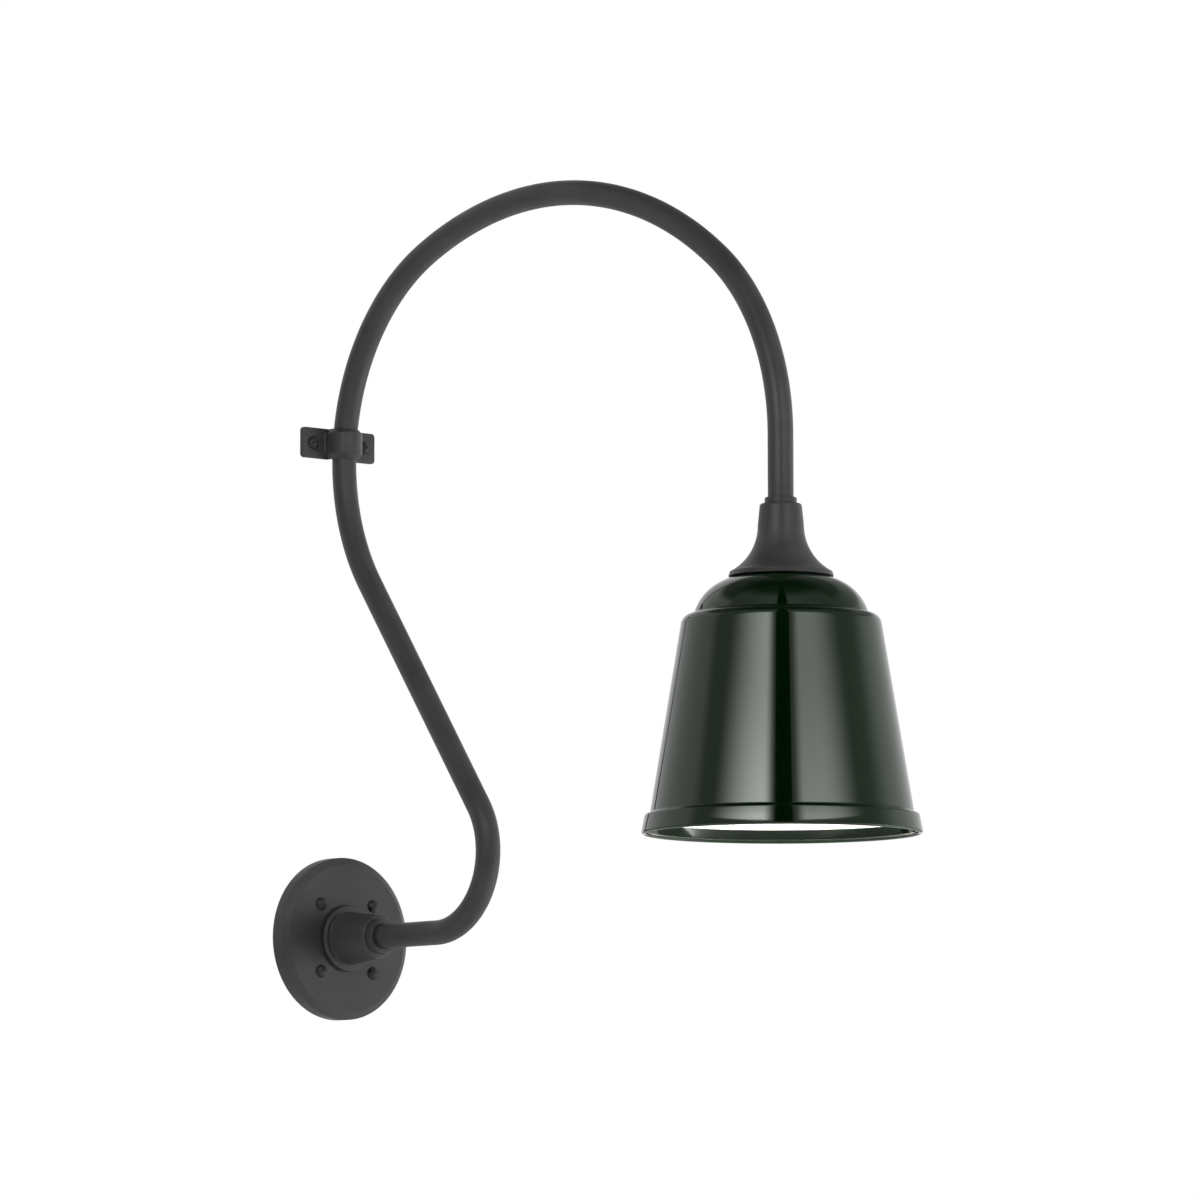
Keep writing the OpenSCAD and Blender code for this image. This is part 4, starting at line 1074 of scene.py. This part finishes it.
def studio_floor():
    """A pale round floor far below the light, clear from its underside so that it hides nothing from below."""
    nothing_selected()
    bpy.ops.mesh.primitive_circle_add(vertices=96, radius=FLOOR_R, fill_type="NGON", location=(0, -0.3, FLOOR_Z))
    floor = settle(bpy.context.object)
    paper = Finish("floor_paper", (0.80, 0.80, 0.80), 0.7)
    paper.vary_colour(paper.noise(3, 2), (0.79, 0.79, 0.79), (0.81, 0.81, 0.81))
    clear = paper.add("ShaderNodeBsdfTransparent")
    under = paper.add("ShaderNodeNewGeometry").outputs["Backfacing"]
    sides = paper.add("ShaderNodeMixShader")
    paper.link(under, sides.inputs["Fac"])
    paper.link(paper.shader.outputs["BSDF"], sides.inputs[1])
    paper.link(clear.outputs["BSDF"], sides.inputs[2])
    paper.link(sides.outputs["Shader"], paper.tree.nodes["Material Output"].inputs["Surface"])
    floor.data.materials.append(paper.material)
    named(floor, "studio_floor")


FRONT_LIGHT = 0.6
DIM_LIGHT = 0.4
LEFT_LIGHT = 0.88
RIGHT_LIGHT = 1.0
ROOF_LIGHT = 0.12
SOFT_LIGHT = 0.5
SOFT_TOP = 0.6
EAVES_SHADE = 0.6
FLOOR_Z = -0.62
FLOOR_R = 7

# Bearings round the object at which the walls change, 0 at the camera's side.
GAP_EDGE = (deg(7), deg(9))
FRONT_FADE = (deg(10), deg(75))
BEHIND_FADE = (deg(75), deg(100))
LEFT_EDGE = (deg(-92), deg(-78))
RIGHT_EDGE = (deg(84), deg(112))

# Heights at which they change, as the sine of the elevation.
ROOF_RISE = (0.8, 0.98)
EAVES_RISE = (0.62, 0.75)
LEFT_TOP = (0.6, 0.7)
RIGHT_TOP = (0.3, 0.45)
SOFT_RISE = (0.1, 0.7)

# The two light panels, in metres and degrees.
PANEL_R = 1.0
PANEL_FOOT = 0.42
PANEL_MIDDLE = 0.62
PANEL_BROW = (0.86, 1.08)
PANEL_TOP = 1.3
PANEL_UPPER = 0.5
PANEL_EDGE = 10
SLANT = 20

CAMERA_AZ = -42.0
CAMERA_EL = -6.0
CAMERA_ROLL = -0.1
CAMERA_LENS = 210.47
CAMERA_DISTANCE = 5.2992
CAMERA_TARGET = Vector((0, -0.3112, 0.2431))


def photo_camera():
    az, el, roll = deg(CAMERA_AZ), deg(CAMERA_EL), deg(CAMERA_ROLL)
    back = Vector((math.sin(az) * math.cos(el), -math.cos(az) * math.cos(el), math.sin(el)))
    right = Vector((math.cos(az), math.sin(az), 0))
    up = back.cross(right)
    right, up = right * math.cos(roll) + up * math.sin(roll), up * math.cos(roll) - right * math.sin(roll)
    camera = bpy.data.objects.new("photo_camera", bpy.data.cameras.new("photo_camera"))
    bpy.context.scene.collection.objects.link(camera)
    camera.data.lens = CAMERA_LENS
    camera.data.sensor_width = 36
    camera.data.clip_end = 50
    place = CAMERA_TARGET + back * CAMERA_DISTANCE
    camera.matrix_world = Matrix(((right.x, up.x, back.x, place.x), (right.y, up.y, back.y, place.y),
                                  (right.z, up.z, back.z, place.z), (0, 0, 0, 1)))
    bpy.context.scene.camera = camera


def lamp(name, place, target, size, power, spread=math.pi):
    """A plain area lamp that doesn't show in the gloss."""
    data = bpy.data.lights.new(name, "AREA")
    data.shape = "RECTANGLE"
    data.size, data.size_y = size
    data.energy = power
    data.spread = spread
    light = bpy.data.objects.new(name, data)
    bpy.context.scene.collection.objects.link(light)
    light.location = place
    light.rotation_euler = (Vector(target) - Vector(place)).to_track_quat("-Z", "Y").to_euler()
    light.visible_glossy = False


photo_camera()
studio_world()
studio_floor()
soft_box("left_soft_box", -8, -66, -18, 10.5)
soft_box("right_soft_box", 9, 72, 34, 5.2)
lamp("left_lamp", (-2.3, -0.2, 0.1), (0, -0.3, 0.2), (1.2, 0.9), 25)
lamp("right_lamp", (2.4, -2.4, 0.0), (0, -0.2, 0.2), (1.4, 1.2), 165)
lamp("top_lamp", (0.4, -1.0, 2.6), (0, -0.3, -0.6), (1.6, 1.6), 50)
lamp("under_lamp", (0, -0.51, -0.59), (0, -0.51, 0.1), (0.2, 0.2), 1.45, spread=deg(50))
bpy.context.scene.view_settings.view_transform = "Standard"
